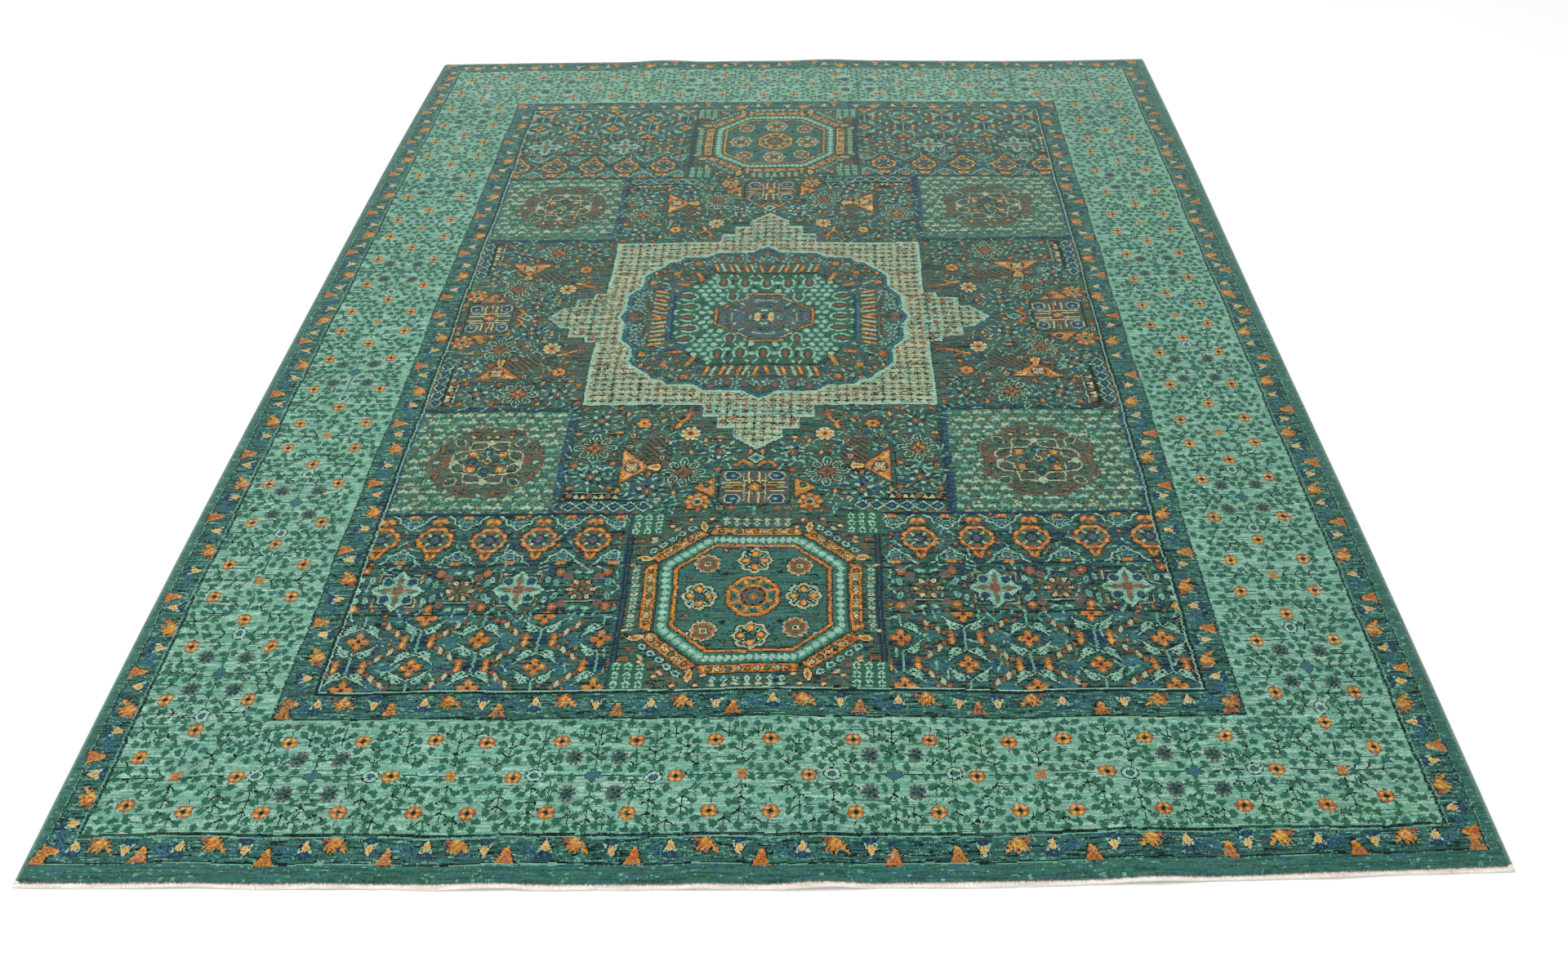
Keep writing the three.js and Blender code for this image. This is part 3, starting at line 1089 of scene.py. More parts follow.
def octagon_corner(cu, cv, v0, v1, a, b):
    """What fills one corner outside the octagon: trees, and beads, buds and squares beside it."""
    tree_u, tree_v = cu + a * 108, (v1 - 15 if b > 0 else v0 + 15)
    block(tree_u - 17, tree_v - 15, tree_u + 17, tree_v + 15, "g")
    for i in (-1, 0, 1):
        for j in (-1, 0, 1):
            stamp(SMALL_TREES, tree_u + 11 * i, tree_v + 10 * j)
    for i in range(5):
        share = (i + 0.5) / 5
        motif(RING_BEAD, cu + a * (103 - 43 * share), cv + b * (59 + 38 * share), -38 * a * b)
        motif(f"r leaf 4.4 2.2, {'ws'[i % 2]} leaf 3.6 1.6",
              cu + a * (115 - 52 * share), cv + b * (62 + 44 * share), -38 * a * b)
    motif(LEAF_BUD, cu + a * 106, cv + b * 52, 8 * a * b)
    motif(LEAF_BUD, cu + a * 53, cv + b * 96, 80 * a * b)
    for x, y in ((119, 43), (100, 80), (84, 97), (67, 107), (46, 107), (40, 96)):
        motif("k diamond 4.4 4, r diamond 3.6 3.2, c diamond 2.6 2.2", cu + a * x, cv + b * y)
    motif("k box 6 3.4, r box 5 2.6, w box 3 1.2", cu + a * 114, cv + b * 77)
    for y in range(8):
        motif(f"{'sj'[y % 2]} oval 3.6 2.2, k oval 1.2 0.8", cu + a * 114, cv + b * (5 + 8.6 * y) * 0.64)


def pale_ring(cu, cv):
    """The ring between the bars and the frame: ticked sides, and beads at the corners."""
    inner, outer = octagon(cu, cv, 3.8), octagon(cu, cv, 11.6)
    for i in range(8):
        j = (i + 1) % 8
        count = (13 if i in (0, 4) else 10) if i % 2 == 0 else 6
        if i % 2 == 0:
            polygon([inner[i], inner[j], outer[j], outer[i]], "j")
        for k in range(count):
            share = (k + 0.5) / count
            a, b = between(inner[i], inner[j], share), between(outer[i], outer[j], share)
            if i % 2 == 0:
                motif("g box 4.4 3.9, j oval 4.1 3.4, m diamond 3.4 4.6, j oval 0.8 0.8",
                      *between(a, b, 0.55), 0 if i in (0, 4) else 90)
            else:
                motif("g oval 6 5.2, j oval 5.2 4.4, m leaf 4.4 2", *between(a, b, 0.5),
                      38 if i in (1, 5) else -38)


OCTAGON_MARKS = """
-28 -62 o, 27 -62 r, -25 57 w, 25 57 w, -62 -24 w, 62 -24 b, -62 24 r, 62 24 w, -26 -30 k, 27 -32 k
-28 33 k, 27 33 k, -20 -40 b, 18 42 b, 60 48 m, -60 47 m"""


def octagon_panel(end):
    """The panel at one end: its octagon, and what fills the ground round it."""
    q = Quarter("right", end, row=True)
    v0, v1 = sorted((q.spot(0, 350)[1], q.spot(0, 577)[1]))
    u0, u1 = across(906), across(1442)
    cu, cv = (u0 + u1) / 2, along(603 if end == "far" else 2547)
    block(u0, v0, u1, v1, "d")
    streaks(box_part((u0, v0, u1, v1)), "d>w 0.22 12, h 0.16, k 0.26, t 0.14, n 0.1")
    for u in (u0, u0 + 4, u1 - 5, u1 - 9):
        block(u, v0, u + 2, v1, "n")
        block(u + 2, v0, u + 3, v1, "k")
    for a, b in CORNERS:
        octagon_corner(cu, cv, v0, v1, a, b)
    for b in (-1, 1):
        for i in range(7):
            motif("m diamond 3.4 4.2, b oval 1.3 1.6", cu - 31 + 10.3 * i, cv + b * 101)
            motif("s diamond 3.8 2.2", cu - 31 + 10.3 * i, cv + b * 107)
    polygon(octagon(cu, cv, 15.2), "k")
    bars, rim = octagon(cu, cv, 16.2), octagon(cu, cv, 29.5)
    for i in range(8):
        orange_bar(bars[i], bars[(i + 1) % 8], rim[i], rim[(i + 1) % 8])
    polygon(octagon(cu, cv, 14.4), "t")
    pale_ring(cu, cv)
    for out, yarn in ((1, "k"), (0, "r"), (-0.9, "o"), (-3.2, "r"), (-4, "k"), (-5, "d")):
        polygon(octagon(cu, cv, out), yarn)
    inner_part, inside = inside_of(octagon(cu, cv, -5.4))
    streaks(inner_part, "d>t 0.5 16, h 0.2, k 0.12, n 0.12, w 0.1, b 0.08", inside=inside)
    motif(MIDDLE_RING, cu + 1, cv)
    for x, y in ((1, -48), (0, 50), (-51, 0.5), (50, 0.5)):
        motif(LOBED_STAR, cu + x, cv + y)
    for x, y in ((-45, -43), (44.5, -40), (-45, 43.5), (41.5, 41)):
        motif(RUST_ROSETTE, cu + x, cv + y)
    for x, y, yarn in entries(OCTAGON_MARKS):
        motif(f"k oval 3 2.2, {yarn} oval 2 1.3", cu + int(x), cv + int(y))


for end in ("far", "near"):
    octagon_panel(end)
print("octagons laid")


# %% [markdown]
# ## The four corner squares
# Each holds a round, brownish medallion on a ground of little trees. Its figure is a pale
# line that loops into eight pods round four blue and four orange spots.

# %% Corner squares
TREE_TILE = [
    ".....mm........w",
    "..m..mmm.m....ww",
    "..mmmmmmmm.....w",
    ".mmmmmmmmmm....y",
    ".mmmm.mmmmm....y",
    ".mmm.t.tmm..g..w",
    "..m.ttttt..ggg.w",
    "...tttbtt..gk..r",
    "...ttbbbt......r",
    "..ttt.b.tt...m.w",
    "..t...k..t..mmmw",
    "....k.ww.k.mmmm.",
    "......ww....mm..",
]
LOOPED_LINE = (  # a quarter of the medallion's pale figure, in knots from its middle
    ((0, -27), (5, -33), (20, -33), (21, -18), (32, -17), (37, -11), (37, -3), (30, 0)),
    ((2, -26), (7, -20), (20, -19)), ((22, -16), (23, -6), (30, -2)),
)


FADED = str.maketrans("mytw", "jwhh")


def corner_square(q):
    """A square of pale streaked ground with its medallion."""
    box = u0, v0, u1, v1 = q.box(205, 182.5, 377, 347.5)
    block(*box, "h")
    part = box_part(box)
    streaks(part, "h>g 0.26 9, t 0.12, w 0.14, j 0.2")
    for j, v in enumerate(np.arange(v0 + 8, v1 - 5, 12.6)):
        for u in np.arange(u0 + 9 + 7.5 * (j % 2), u1 - 8, 15):
            art = TREE_TILE if rng.random() < 0.7 else [row.translate(FADED) for row in TREE_TILE]
            stamp(art, u + rng.uniform(-1, 1), v + rng.uniform(-1, 1), flip=rng.random() < 0.5)
    for u in (u0, u1 - 5):
        block(u, v0, u + 5, v1, "n")
        streaks(chart[int(v0):int(v1), int(u):int(u) + 5], "n>b 0.35 5")
    for v in (v0 - 4, v1):
        block(u0, v, u1, v + 3, "n")
        block(u0, v + 3, u1, v + 4, "k")
    square_medallion(q, 288.5, 267.5)
    streaks(part, "m>s 0.45 3, c 0.2 2, j>s 0.1 2, k 0.05, r>w 0.3 4, o>y 0.2 2, h>k 0.1 4, g>k 0.08 3")


def square_medallion(q, x, y):
    """A lobed pale disc with a knotted square in it."""
    for yarn, size in (("w", 1.0), ("r", 0.985), ("w", 0.95)):
        q.motif(f"{yarn} lobes 59.5 55.5 @22.5, {yarn} oval 12 15 x2 >50, {yarn} oval 16 18 x2 >42 @90",
                x, y, scale=size)
    streaks(q.part(x - 60, y - 58, x + 60, y + 58),
            "w>d 0.3 6, h 0.24, r 0.12, k 0.12, p 0.12, t 0.1, j 0.05, r>w 0.5 5")
    for i in range(12):
        q.motif(f"k oval 5.4 3.4, {'rdw'[i % 3]} oval 4.4 2.4", x, y, 30 * i + 15)
    for a, b in CORNERS:
        q.motif("s oval 7.6 5.4, k oval 6.3 4.2, d oval 5.6 3.5", x + 33 * a, y + 32 * b, 40 * a * b)
        for px, py, turn in ((18, 47, 0), (50, 22, 90)):
            q.motif("k leaf 8 3.4, r leaf 7 2.4, h leaf 3 1", x + px * a, y + py * b, turn)
    for a in (-43, 43):
        q.motif("r oval 5.5 8, w oval 3.5 5.5, r oval 1.5 2.5", x + a, y - 3)
        q.motif("g oval 5 4, m oval 3 2.4", x + a * 1.22, y)
    q.scatter("g oval 4 4, m oval 2.4 2", "0 -52, 0 53", (x, y))
    q.block(x - 21, y - 19, x + 21, y + 19, "w")
    q.block(x - 20, y - 18, x + 20, y + 18, "d")
    streaks(q.part(x - 20, y - 18, x + 20, y + 18), "d>w 0.3 6, h 0.3, k 0.15")
    for a, b in CORNERS:
        for line_points in LOOPED_LINE:
            points = [(x + a * px, y + b * py) for px, py in line_points]
            q.line([(px, py + b) for px, py in points], "k", 2.4)
            q.line(points, "s", 1.5)
        q.motif("d oval 6 3.4, w oval 3.4 1.6", x + 13 * a, y + 26 * b)
        q.motif("d oval 3.4 5.4, w oval 1.6 3", x + 30 * a, y + 10 * b)
        q.motif("r box 4.4 4.2, o box 3.4 3.2, y box 1.2 1", x + 15.5 * a, y + 12.5 * b)
    q.scatter("s diamond 5.4 5.4, m diamond 3.2 3.2", "0 -31, 0 33, 34 1, -34 1", (x, y))
    q.motif("k oval 5.4 5 x4 >15.5, n oval 4.6 4.2 x4 >15.5, t oval 2.6 2.6 x4 >15.5", x, y)
    q.motif("k diamond 6.4 6.4, c diamond 5.2 5.2, k diamond 3.2 3.2, r oval 1 1", x, y - 1)
    q.scatter("k oval 3.4 3.4, o oval 2.5 2.5, c oval 1.2 1.2",
              "-21 -41, -4.5 -41, 4.5 -41, 21 -41", (x, y))


quarters(corner_square)
print("corner squares laid")


# %% [markdown]
# ## The compartments between the star and the corners
# Four compartments fill the rest, and the two at the sides hold the same things as the two at
# the ends, turned to face the star: florets, buds and hooked branches, pale open-looped stars, a
# big and a small orange triangle, a chain of navy lozenges, and a looped cross tile in the middle.

# %% Compartment motifs
OPEN_STAR = """
k oval 8 5.8 x4 >16.6, k oval 7.2 5.4 x4 >15.2 @45, m oval 7.2 5 x4 >16.6, s oval 6.4 4.6 x4 >15.2 @45
k oval 5.8 3.6 x4 >16.4, k oval 5 3.2 x4 >15 @45, d oval 5 2.8 x4 >16.4, h oval 3.6 2 x4 >15 @45
m leaf 3 0.9 x4 >15.5, k oval 8.6 8.6, w oval 7.6 7.6, r leaf 7.5 2.5 x4 >5, o leaf 4.2 1.2 x4 >4.5
k oval 2.2 2.2, r oval 1.2 1.2"""
PALE_OPEN_STAR = OPEN_STAR.replace("o leaf", "w leaf")
GREY_FLORET = """
b leaf 8 2.6 x4 >8, k leaf 6 1.6 x4 >8, k oval 4 2.9 x4 >9.2 @50, m oval 3.3 2.1 x4 >9.2 @50
m leaf 4.6 1.2 x4 >19 @24, m leaf 4 1.1 x4 >19 @-24, j leaf 3.4 1 x4 >14, k oval 6.4 6.4, w oval 5.6 5.6
r oval 1.1 1.1 x4 >3, c oval 1.1 1.1"""
GOLD_FLORET = """
k lobes 12 10 @22, s lobes 11 8.8 @22, c oval 2.4 1.7 x8 >8.4 @22, k oval 0.9 0.9 x8 >8.8, r oval 7 7
y oval 6 6, o oval 4.4 4.4, r oval 3 3, k oval 1.4 1.4"""
ORANGE_FLORET = """
k lobes 9.4 8 *6, r lobes 8.6 7.2 *6, o lobes 7.6 6.2 *6, y oval 1.6 1 x6 >5.2, r oval 2.4 2.4
k oval 1.3 1.3"""
ORANGE_ROSETTE = """
k lobes 15 10.5, r lobes 14.2 9.8, o lobes 13.2 8.8, r oval 1.5 2.4 x8 >7.4 @22, y oval 2 1 x8 >9.6
r oval 5.6 5.6, c oval 4.6 4.6, g oval 3.6 3.6, k oval 1.4 1.4"""
BUD_FLAME = "k leaf 5.8 3.2, r leaf 5 2.5, y leaf 4 1.6, o leaf 2.4 0.8"
RUST_BUD = "k leaf 5.8 4, r leaf 5 3.2, o leaf 2.6 1"
CREAM_BUD = "k oval 4.8 3.6, s oval 4 2.8, r leaf 3.6 1.4, k leaf 2 0.7"
BLUE_WINGS = """
m leaf 5.2 1.3 >9 @215, m leaf 5.2 1.3 >9 @-35, k diamond 6 4.6, b diamond 5 3.6, n oval 1.6 1.2
m leaf 3 0.9 >13 @240, m leaf 3 0.9 >13 @-60"""
SCATTERED = (
    (GREY_FLORET, "175 201, 174 294 20, 112 315 10, 38 253 30"),
    (ORANGE_FLORET, "126.5 206"),
    (GOLD_FLORET, "73 222"),
    (ORANGE_ROSETTE, "58 332"),
    (CREAM_BUD, "136 227 90, 36 342, 100 262 90, 137 245, 100 328 30"),
    (BUD_FLAME, "105 200 40, 56 234 90, 40 228, 69 253 90, 84 317 90, 6.5 253 90, 196 222, 151 221, "
                "146 189 80, 143 314 60"),
    (RUST_BUD, "112 288 90, 39 281, 195 179 30, 155 179 45, 194 275, 153 272 30, 195 311 30, 152 310, "
               "58 343.5 90, 24 342, 86 300 20"),
    (BLUE_WINGS, "39 271, 40 240 180, 112 300, 174 274 180, 128 312 90, 92 246 60"),
)


def big_triangle(q):
    """An orange triangle with a short neck and a dark eye."""
    q.nested(((142, 249), (143, 303), (117, 282), (113, 277), (118, 271)), (131, 277),
             "k 1.1, r 1.03, o 0.93")
    q.polygon([(141, 253), (141, 266), (132, 266)], "y")
    q.line([(140, 296), (131, 288)], "y", 2.2)
    q.polygon([(115, 273), (100, 269), (98, 277), (100, 285), (115, 281)], "k")
    q.polygon([(114, 274.5), (101.5, 271), (99.6, 277), (101.5, 283), (114, 279.5)], "y")
    q.motif("r box 4.5 1", 106, 277)
    q.motif("r oval 9.4 9.4, k oval 8.4 8.4, w oval 7.4 7.4, c oval 2.9 2.6 x4 >4.8 @45, "
            "k oval 1 1 x4 >4.8 @45, y oval 1.8 1.8", 131, 278)


def small_triangle(q):
    """The same with more corners, and smaller."""
    q.nested(((42, 295), (42, 325), (52, 318), (64, 311), (56, 303), (50, 300)), (50, 309),
             "k 1.12, r 1.03, o 0.9")
    q.polygon([(44.5, 299), (44.5, 304), (48, 303)], "y")
    q.motif("r oval 4.8 4.8, k oval 3.8 3.8, h oval 2.2 2.2", 50, 306)


def hooked_branch(q):
    """A branch that forks and hooks back at its end."""
    route = ((89, 213), (86, 203), (80, 197), (77.5, 188), (77, 178))
    for yarn, thick in (("k", 6.4), ("r", 4.4), ("o", 2.4)):
        q.line(route[:4] if yarn == "o" else route, yarn, thick)
        q.line([(86, 203), (93, 196)], yarn, thick - 1)
    q.line([(82, 188), (72, 188)], "r", 2.4)
    q.line([(89, 213), (86, 204)], "o", 4.6)
    q.line([(88, 211), (86, 206)], "y", 1.6)
    q.line([(71, 190), (64, 190)], "w", 2)
    q.line([(64, 190), (64, 176)], "p", 2)


def trellis(q):
    """A panel of crossing threads."""
    part = q.part(91, 231, 119, 268)
    part[:] = CODE["w"]
    streaks(part, "w>d 0.4 5")
    rows, columns = np.mgrid[:part.shape[0], :part.shape[1]]
    part[(rows + columns) % 8 == 0] = CODE["r"]
    part[(rows - columns) % 8 < 2] = CODE["k"]
    q.block(88, 228, 91, 272, "d")
    q.block(119, 228, 123, 272, "d")
    for y in (229, 269):
        q.line([(91, y), (119, y)], "w", 2)


def lozenge_chain(q):
    """Navy lozenges in a row, with a band of small shapes inside it."""
    q.block(112, 328, 200, 331, "k")
    for x in (190.5, 175, 159, 143, 127, 113):
        q.motif("k diamond 10.6 9, m diamond 9.6 8, k diamond 7.4 5.8, n diamond 6.6 5, "
                "b diamond 2.4 1.8", x, 338)
        q.motif("r diamond 4 2.6, w diamond 2.4 1.6", x + 7.8, 345.5)
    q.block(140, 316.5, 200, 327.5, "k")
    q.block(140, 317.5, 200, 319, "m")
    for i, x in enumerate(range(144, 199, 7)):
        if i % 3 == 1:
            q.motif("k oval 4.2 5.2, r oval 3.2 4.4, h oval 1 2", x, 322.5)
        else:
            q.polygon([(x - 4, 327), (x, 320.5), (x + 4, 327)], "c" if i % 3 else "s")


def cross_tile(q):
    """Half of the looped tile on the axis; the other half is its mirror."""
    q.polygon([(0, 282), (34, 282), (38, 288), (38, 330), (34, 337), (0, 337)], "k")
    q.polygon([(0, 283.5), (33, 283.5), (36.5, 289), (36.5, 329), (33, 335.5), (0, 335.5)], "w")
    streaks(q.part(0, 283, 36, 336), "w>d 0.45 8, p 0.35")
    for y in (291.5, 327.5):
        q.polygon([(29, y - 7), (18, y - 7), (13, y), (18, y + 7), (29, y + 7), (33, y)], "s")
        q.polygon([(28, y - 5.6), (18.8, y - 5.6), (14.8, y),
                   (18.8, y + 5.6), (28, y + 5.6), (31.2, y)], "n")
        q.motif("b oval 3.4 3, m oval 1.4 1.2", 22, y)
    for x0, x1, y, yarn in ((2, 12, 300, "c"), (14, 31, 303, "c"), (10, 30, 307, "o"), (9, 24, 311.5, "r"),
                            (14, 31, 316, "c"), (2, 12, 319, "s"), (24, 34, 309.5, "s")):
        q.cord([(x0, y), (x1, y)], f"k 3.4, {yarn} 1.8")
    q.cord([(5, 286), (5, 333)], "k 3.4, c 1.6")
    q.line([(11, 288), (11, 331)], "s", 1.2)
    q.polygon([(0, 300), (6, 304), (9, 309.5), (6, 315), (0, 319)], "k")
    q.polygon([(0, 301.5), (5, 305), (7.6, 309.5), (5, 314), (0, 317.5)], "r")
    q.polygon([(0, 304), (3.5, 306.5), (5, 309.5), (3.5, 312.5), (0, 315)], "o")
    q.polygon([(0, 307), (2, 309.5), (0, 312)], "y")


def tip_marks(q):
    """The lozenge and the arrowhead between the star's tip and the cross tile."""
    q.polygon([(0, 252), (11, 263), (0, 274)], "k")
    q.polygon([(0, 254), (9.4, 263), (0, 272)], "m")
    q.polygon([(0, 257.5), (5.6, 263), (0, 268.5)], "t")
    q.polygon([(0, 261), (2, 263), (0, 265)], "n")
    q.cord([(22, 275.5), (12, 267), (2.5, 275.5)], "k 6.4, r 4.8, o 2.2")


def half_compartment(q):
    """All that fills half a compartment; the other half is its mirror."""
    q.block(148, 184, 149, 316, "k")
    trellis(q)
    lozenge_chain(q)
    hooked_branch(q)
    for layers, places in SCATTERED:
        q.scatter(layers, places)
    q.motif(OPEN_STAR, 175, 247)
    q.motif(PALE_OPEN_STAR, 75, 285)
    big_triangle(q)
    small_triangle(q)
    cross_tile(q)
    tip_marks(q)


def frame_lines(q):
    """Dark lines with blue beside them part the compartments from the corner squares."""
    for box in ((199.5, 176, 204.5, 349), (199.5, 176, 378, 180)):
        q.block(*box, "n")
        streaks(q.part(*box), "n>k 0.3 4, d 0.3, b 0.15")


quarters(half_compartment)
quarters(half_compartment, turned=True)
quarters(frame_lines)
print("compartments laid")


# %% [markdown]
# ## The star and its medallion
# The middle of the rug is a big star in pale sage wool: a square with a stepped point on each
# side, filled with rows of tiny trees, which turn rust near the medallion. The medallion is round
# with many corners. From outside inwards it has a blue line, panels of slanted orange and pale
# bars with florets between them, a green zone of pale seeds with cypresses in it, and a dark
# octagon with an orange line round it.

# %% Star and medallion outlines, a quarter of each in knots from the middle
STAR_QUARTER = (
    (266, 0), (248, 21), (235, 22.6), (235, 40), (214, 40), (213, 51.6), (199, 51.6), (199, 171.5),
    (62.6, 171.5), (62, 192), (45, 192), (45, 212), (26, 212), (26, 227), (0, 248),
)
MEDALLION_QUARTER = (
    (177, 3), (171, 13), (171, 47), (160, 60), (156, 63), (156, 91), (150, 100), (133, 115), (127, 124),
    (113, 128), (109, 135), (78, 135), (65, 146), (18, 148), (10, 156), (0, 162),
)
SEED_ZONE_QUARTER = ((111, 0), (111, 47), (97, 62), (92, 66), (72, 92), (68, 97), (0, 98))
DARK_OCTAGON_QUARTER = ((60, 0), (60, 17), (51, 20), (44, 26), (22, 44), (20, 51), (0, 51))
PIECES_ROUND = (("left", "near", 1), ("right", "near", -1), ("right", "far", 1), ("left", "far", -1))


def all_round(quarter, shrink=0.0):
    """The whole outline from a quarter that runs from the cross axis to the long axis."""
    reach_x, reach_y = max(x for x, _ in quarter), max(y for _, y in quarter)
    corners = []
    for side, end, step in PIECES_ROUND:
        q = Quarter(side, end)
        corners += [q.spot(x * (1 - shrink / reach_x), y * (1 - shrink / reach_y))
                    for x, y in quarter[::step]]
    return corners


def fill_round(quarter, layers):
    """The outline filled at several insets, each in its own yarn."""
    for shrink, yarn in layers:
        polygon(all_round(quarter, shrink), yarn)


# %% The star's trees
def star_ground():
    """The star's pale ground with rows of tiny trees, rust near the medallion."""
    fill_round(STAR_QUARTER, ((-3, "k"), (-1.6, "m"), (2.4, "s")))
    outline = all_round(STAR_QUARTER, 3)
    part, x, y, middle = round_outline(outline)
    inside = within(np.array(outline) - middle, x, y)
    star_middle = np.array((across(STAR_MM[0]), along(STAR_MM[1])))
    x, y = x + middle[0] - star_middle[0], y + middle[1] - star_middle[1]
    rusty = within(np.array(all_round(MEDALLION_QUARTER, -30)) - star_middle, x, y)
    streaks(part, "s>w 0.16 9, j 0.12, c 0.1, m 0.08, h 0.08", inside=inside)
    column, row = (x + 5.15) % 10.3, y % 10.0
    stem = column < 1.3
    leaf = (np.abs(column - 0.65) < 3.4) & (row > 2.5) & (row < 6.0)
    leaf |= (np.abs(column - 10.95) < 3.4) & (row > 2.5) & (row < 6.0)
    speck = rng.random(x.shape) < 0.85
    part[inside & stem & (row < 8.5) & speck] = CODE["k"]
    part[inside & leaf & speck] = CODE["g"]
    part[inside & leaf & (np.abs(row - 4.2) < 1) & speck] = CODE["k"]
    fat = (column < 2.6) & (row > 1) & (row < 8.5)
    rusty &= inside & ((np.abs(x) < 124) | (np.abs(y) < 105))
    part[rusty & fat & speck & (rng.random(x.shape) < 0.8)] = CODE["r"]
    part[rusty & stem & (row > 3) & (row < 6)] = CODE["w"]
    tips = (np.abs(y) > 168) & (np.abs(y) < 192) | (np.abs(x) > 196) & (np.abs(x) < 214)
    streaks(part, "s>m 0.6 8, j 0.6", inside=inside & tips)


def star_marks(q):
    """Buds and short lines on the star's points and round the medallion."""
    q.scatter(RUST_BUD, "56 176 90, 28 194, 39 202 90, 205 36 90, 205 44 90, 220 30, 208 12 90",
              scale=0.8)
    q.scatter(BUD_FLAME, "33 176 90, 12 175 90", scale=0.8)
    q.block(186, 86, 172, 89, "c")
    q.block(198, 96, 176, 99, "w")


# %% Medallion motifs
CYPRESS = """
j oval 9.4 13, m oval 8.4 12, g oval 6.2 9.8, g box 1 11 >4.5 @-90, g box 5 4.5 >12 @90
m leaf 4.6 1.5 >19 @62, m leaf 4.6 1.5 >19 @118, k leaf 12 4.4 >2 @90, w leaf 11 3.5 >2 @90
r leaf 6 1.3 >3 @90"""
MINT_FAN = """
j leaf 4.8 1.5 x5 >6 @30, m leaf 2.6 0.9 x5 >6.5 @30, b leaf 3.4 1.1 x5 >6 @66, k oval 3 3, p oval 2.2 2.2
m oval 1 1"""
BROWN_BLOB = "k lobes 8.4 6.8 *6, w lobes 7.6 6 *6, r oval 3 3, p oval 1.4 1.4 x6 >4.6"
SMALL_ORANGE = "k lobes 6.6 5.2 *6, r lobes 5.8 4.4 *6, o oval 3.8 3.6, r oval 1.3 1.3"


def slanted(q, a, b, yarn, thick):
    """A slanted bar between two places. An orange one has a dark outline and a gold highlight."""
    if yarn != "o":
        q.line([a, b], yarn, thick)
        return
    q.cord([a, b], f"k {thick + 3}, r {thick + 1.6}, o {thick}")
    q.line([between(a, b, 0.2), between(a, b, 0.6)], "y", thick * 0.3)


def medallion_panels(q):
    """Slanted bars and florets on the medallion's straight sides."""
    for y in (11, 28.5, 46):
        slanted(q, (120, y - 1.5), (137, y + 2), "s", 3.2)
    for y in (2, 19.5, 37, 55):
        slanted(q, (121, y - 2.5), (137, y + 3), "o", 3.6)
    q.block(141, 0, 143, 56, "w")
    q.block(143, 0, 144, 58, "k")
    q.block(110.5, 0, 117, 47, "n")
    q.block(114, 0, 116.4, 47, "b")
    for x in (15.5, 34.5, 53):
        slanted(q, (x, 101), (x + 6, 118), "s" if x < 40 else "m", 2.8)
    for x in (4, 23.5, 43, 61.5):
        slanted(q, (x, 101), (x + 5, 117), "o", 3.4)
    for y, yarn in ((99, "k"), (121, "k"), (122.5, "w")):
        q.line([(0, y), (74, y)], yarn, 1.2)
    q.motif(BROWN_BLOB, 161, 4)
    q.scatter(MINT_FAN, "156 30, 157 44 40, 152 20 90, 165 18 20, 148 52 60", scale=0.8)
    q.scatter(MINT_FAN, "9 132 90, 47 131 90, 28 138 70, 66 129 40, 28 127 90", scale=0.75)
    q.scatter(BROWN_BLOB, "18 136, 37 132, 57 138, 0 144", scale=0.75)


CORNER_MOTIFS = (
    (SMALL_ORANGE, 1, "143 76, 115 98 20, 89 120"), (BUD_FLAME, 1, "142 98 70"),
    (CREAM_BUD, 0.9, "116 123 30"), (RUST_BUD, 0.9, "132 103 60"),
    (RUST_BUD, 0.8, "100 88 45, 127 112 30"), (CREAM_BUD, 0.8, "128 86 45"),
    (CREAM_BUD, 0.7, "104 106 60"), (RUST_BUD, 0.7, "98 128"),
)


def medallion_corner(q):
    """The panel on the diagonal, with its florets and leaves."""
    q.cord([(157, 64), (97, 66)], "n 4.4, b 2")
    q.cord([(113, 48), (96, 64)], "n 4.4, b 2")
    q.cord([(77, 95), (77, 133)], "n 5, b 2.4")
    q.line([(94, 67), (73, 95)], "k", 2)
    for layers, size, places in CORNER_MOTIFS:
        q.scatter(layers, places, scale=size)
    q.cord([(112, 73), (98, 70)], "k 8, r 6.4, o 4")
    q.cord([(81, 80), (88, 98)], "k 8, r 6.4, o 4")
    for yarn, places in (("j", "93 79, 139 88 60, 122 104, 84 108 20"),
                         ("m", "126 74 30, 106 118 90, 95 108 45, 108 84 70")):
        q.scatter(f"k oval 4 2.6, {yarn} leaf 4.2 1.6, b oval 1.2 0.7", places)


def dark_octagon(q):
    """Leaves and blots of blue and plum in the dark middle, and its small eye."""
    for x, y, layers, turn in (
            (10, 36, "b oval 10 6", 10), (6, 24, "n oval 5 3", 0), (50, 3, "p oval 4 9", 0),
            (30, 12, "p oval 7 5", 30), (20, 18, "w oval 4 4", 0), (30, 2, "b oval 5 6", 0),
            (14, 28, "w leaf 7 1.4", 90), (12, 33, "s leaf 3.4 1.3", 40), (36, 14, "m leaf 3.6 1.2", 40),
            (17, 1, "j leaf 4.4 1.4", 90), (28, 28, "m leaf 5 1.8", 45), (40, 4, "s leaf 6 0.9", 90),
            (6, 36, "s box 5 1", 0), (52, 12, "g oval 3 3", 0)):
        q.motif(layers, x, y, turn)
    part = q.part(0, 0, 54, 46)
    streaks(part, "b>d 0.6 4, n>d 0.5 4, p>d 0.45 4, d>p 0.22 4, h 0.2 3, b 0.1, s 0.05 2")
    q.line([(46, 0), (46, 12)], "n", 1.4)
    q.line([(43, 26), (34, 33)], "w", 2.2)
    q.line([(34, 33), (21, 43)], "s", 1.6)
    q.motif("w oval 4.6 11.6, y oval 3.6 9.8, s oval 2 4.6 x2 >5.2 @90, w oval 1 1.6, "
            "c oval 1.2 2.2 x2 >5.6 @90", 8.4, 0)
    q.motif("m oval 2.6 2.4", 2.4, 14)
    q.motif("k oval 2.4 2", 0, 2)


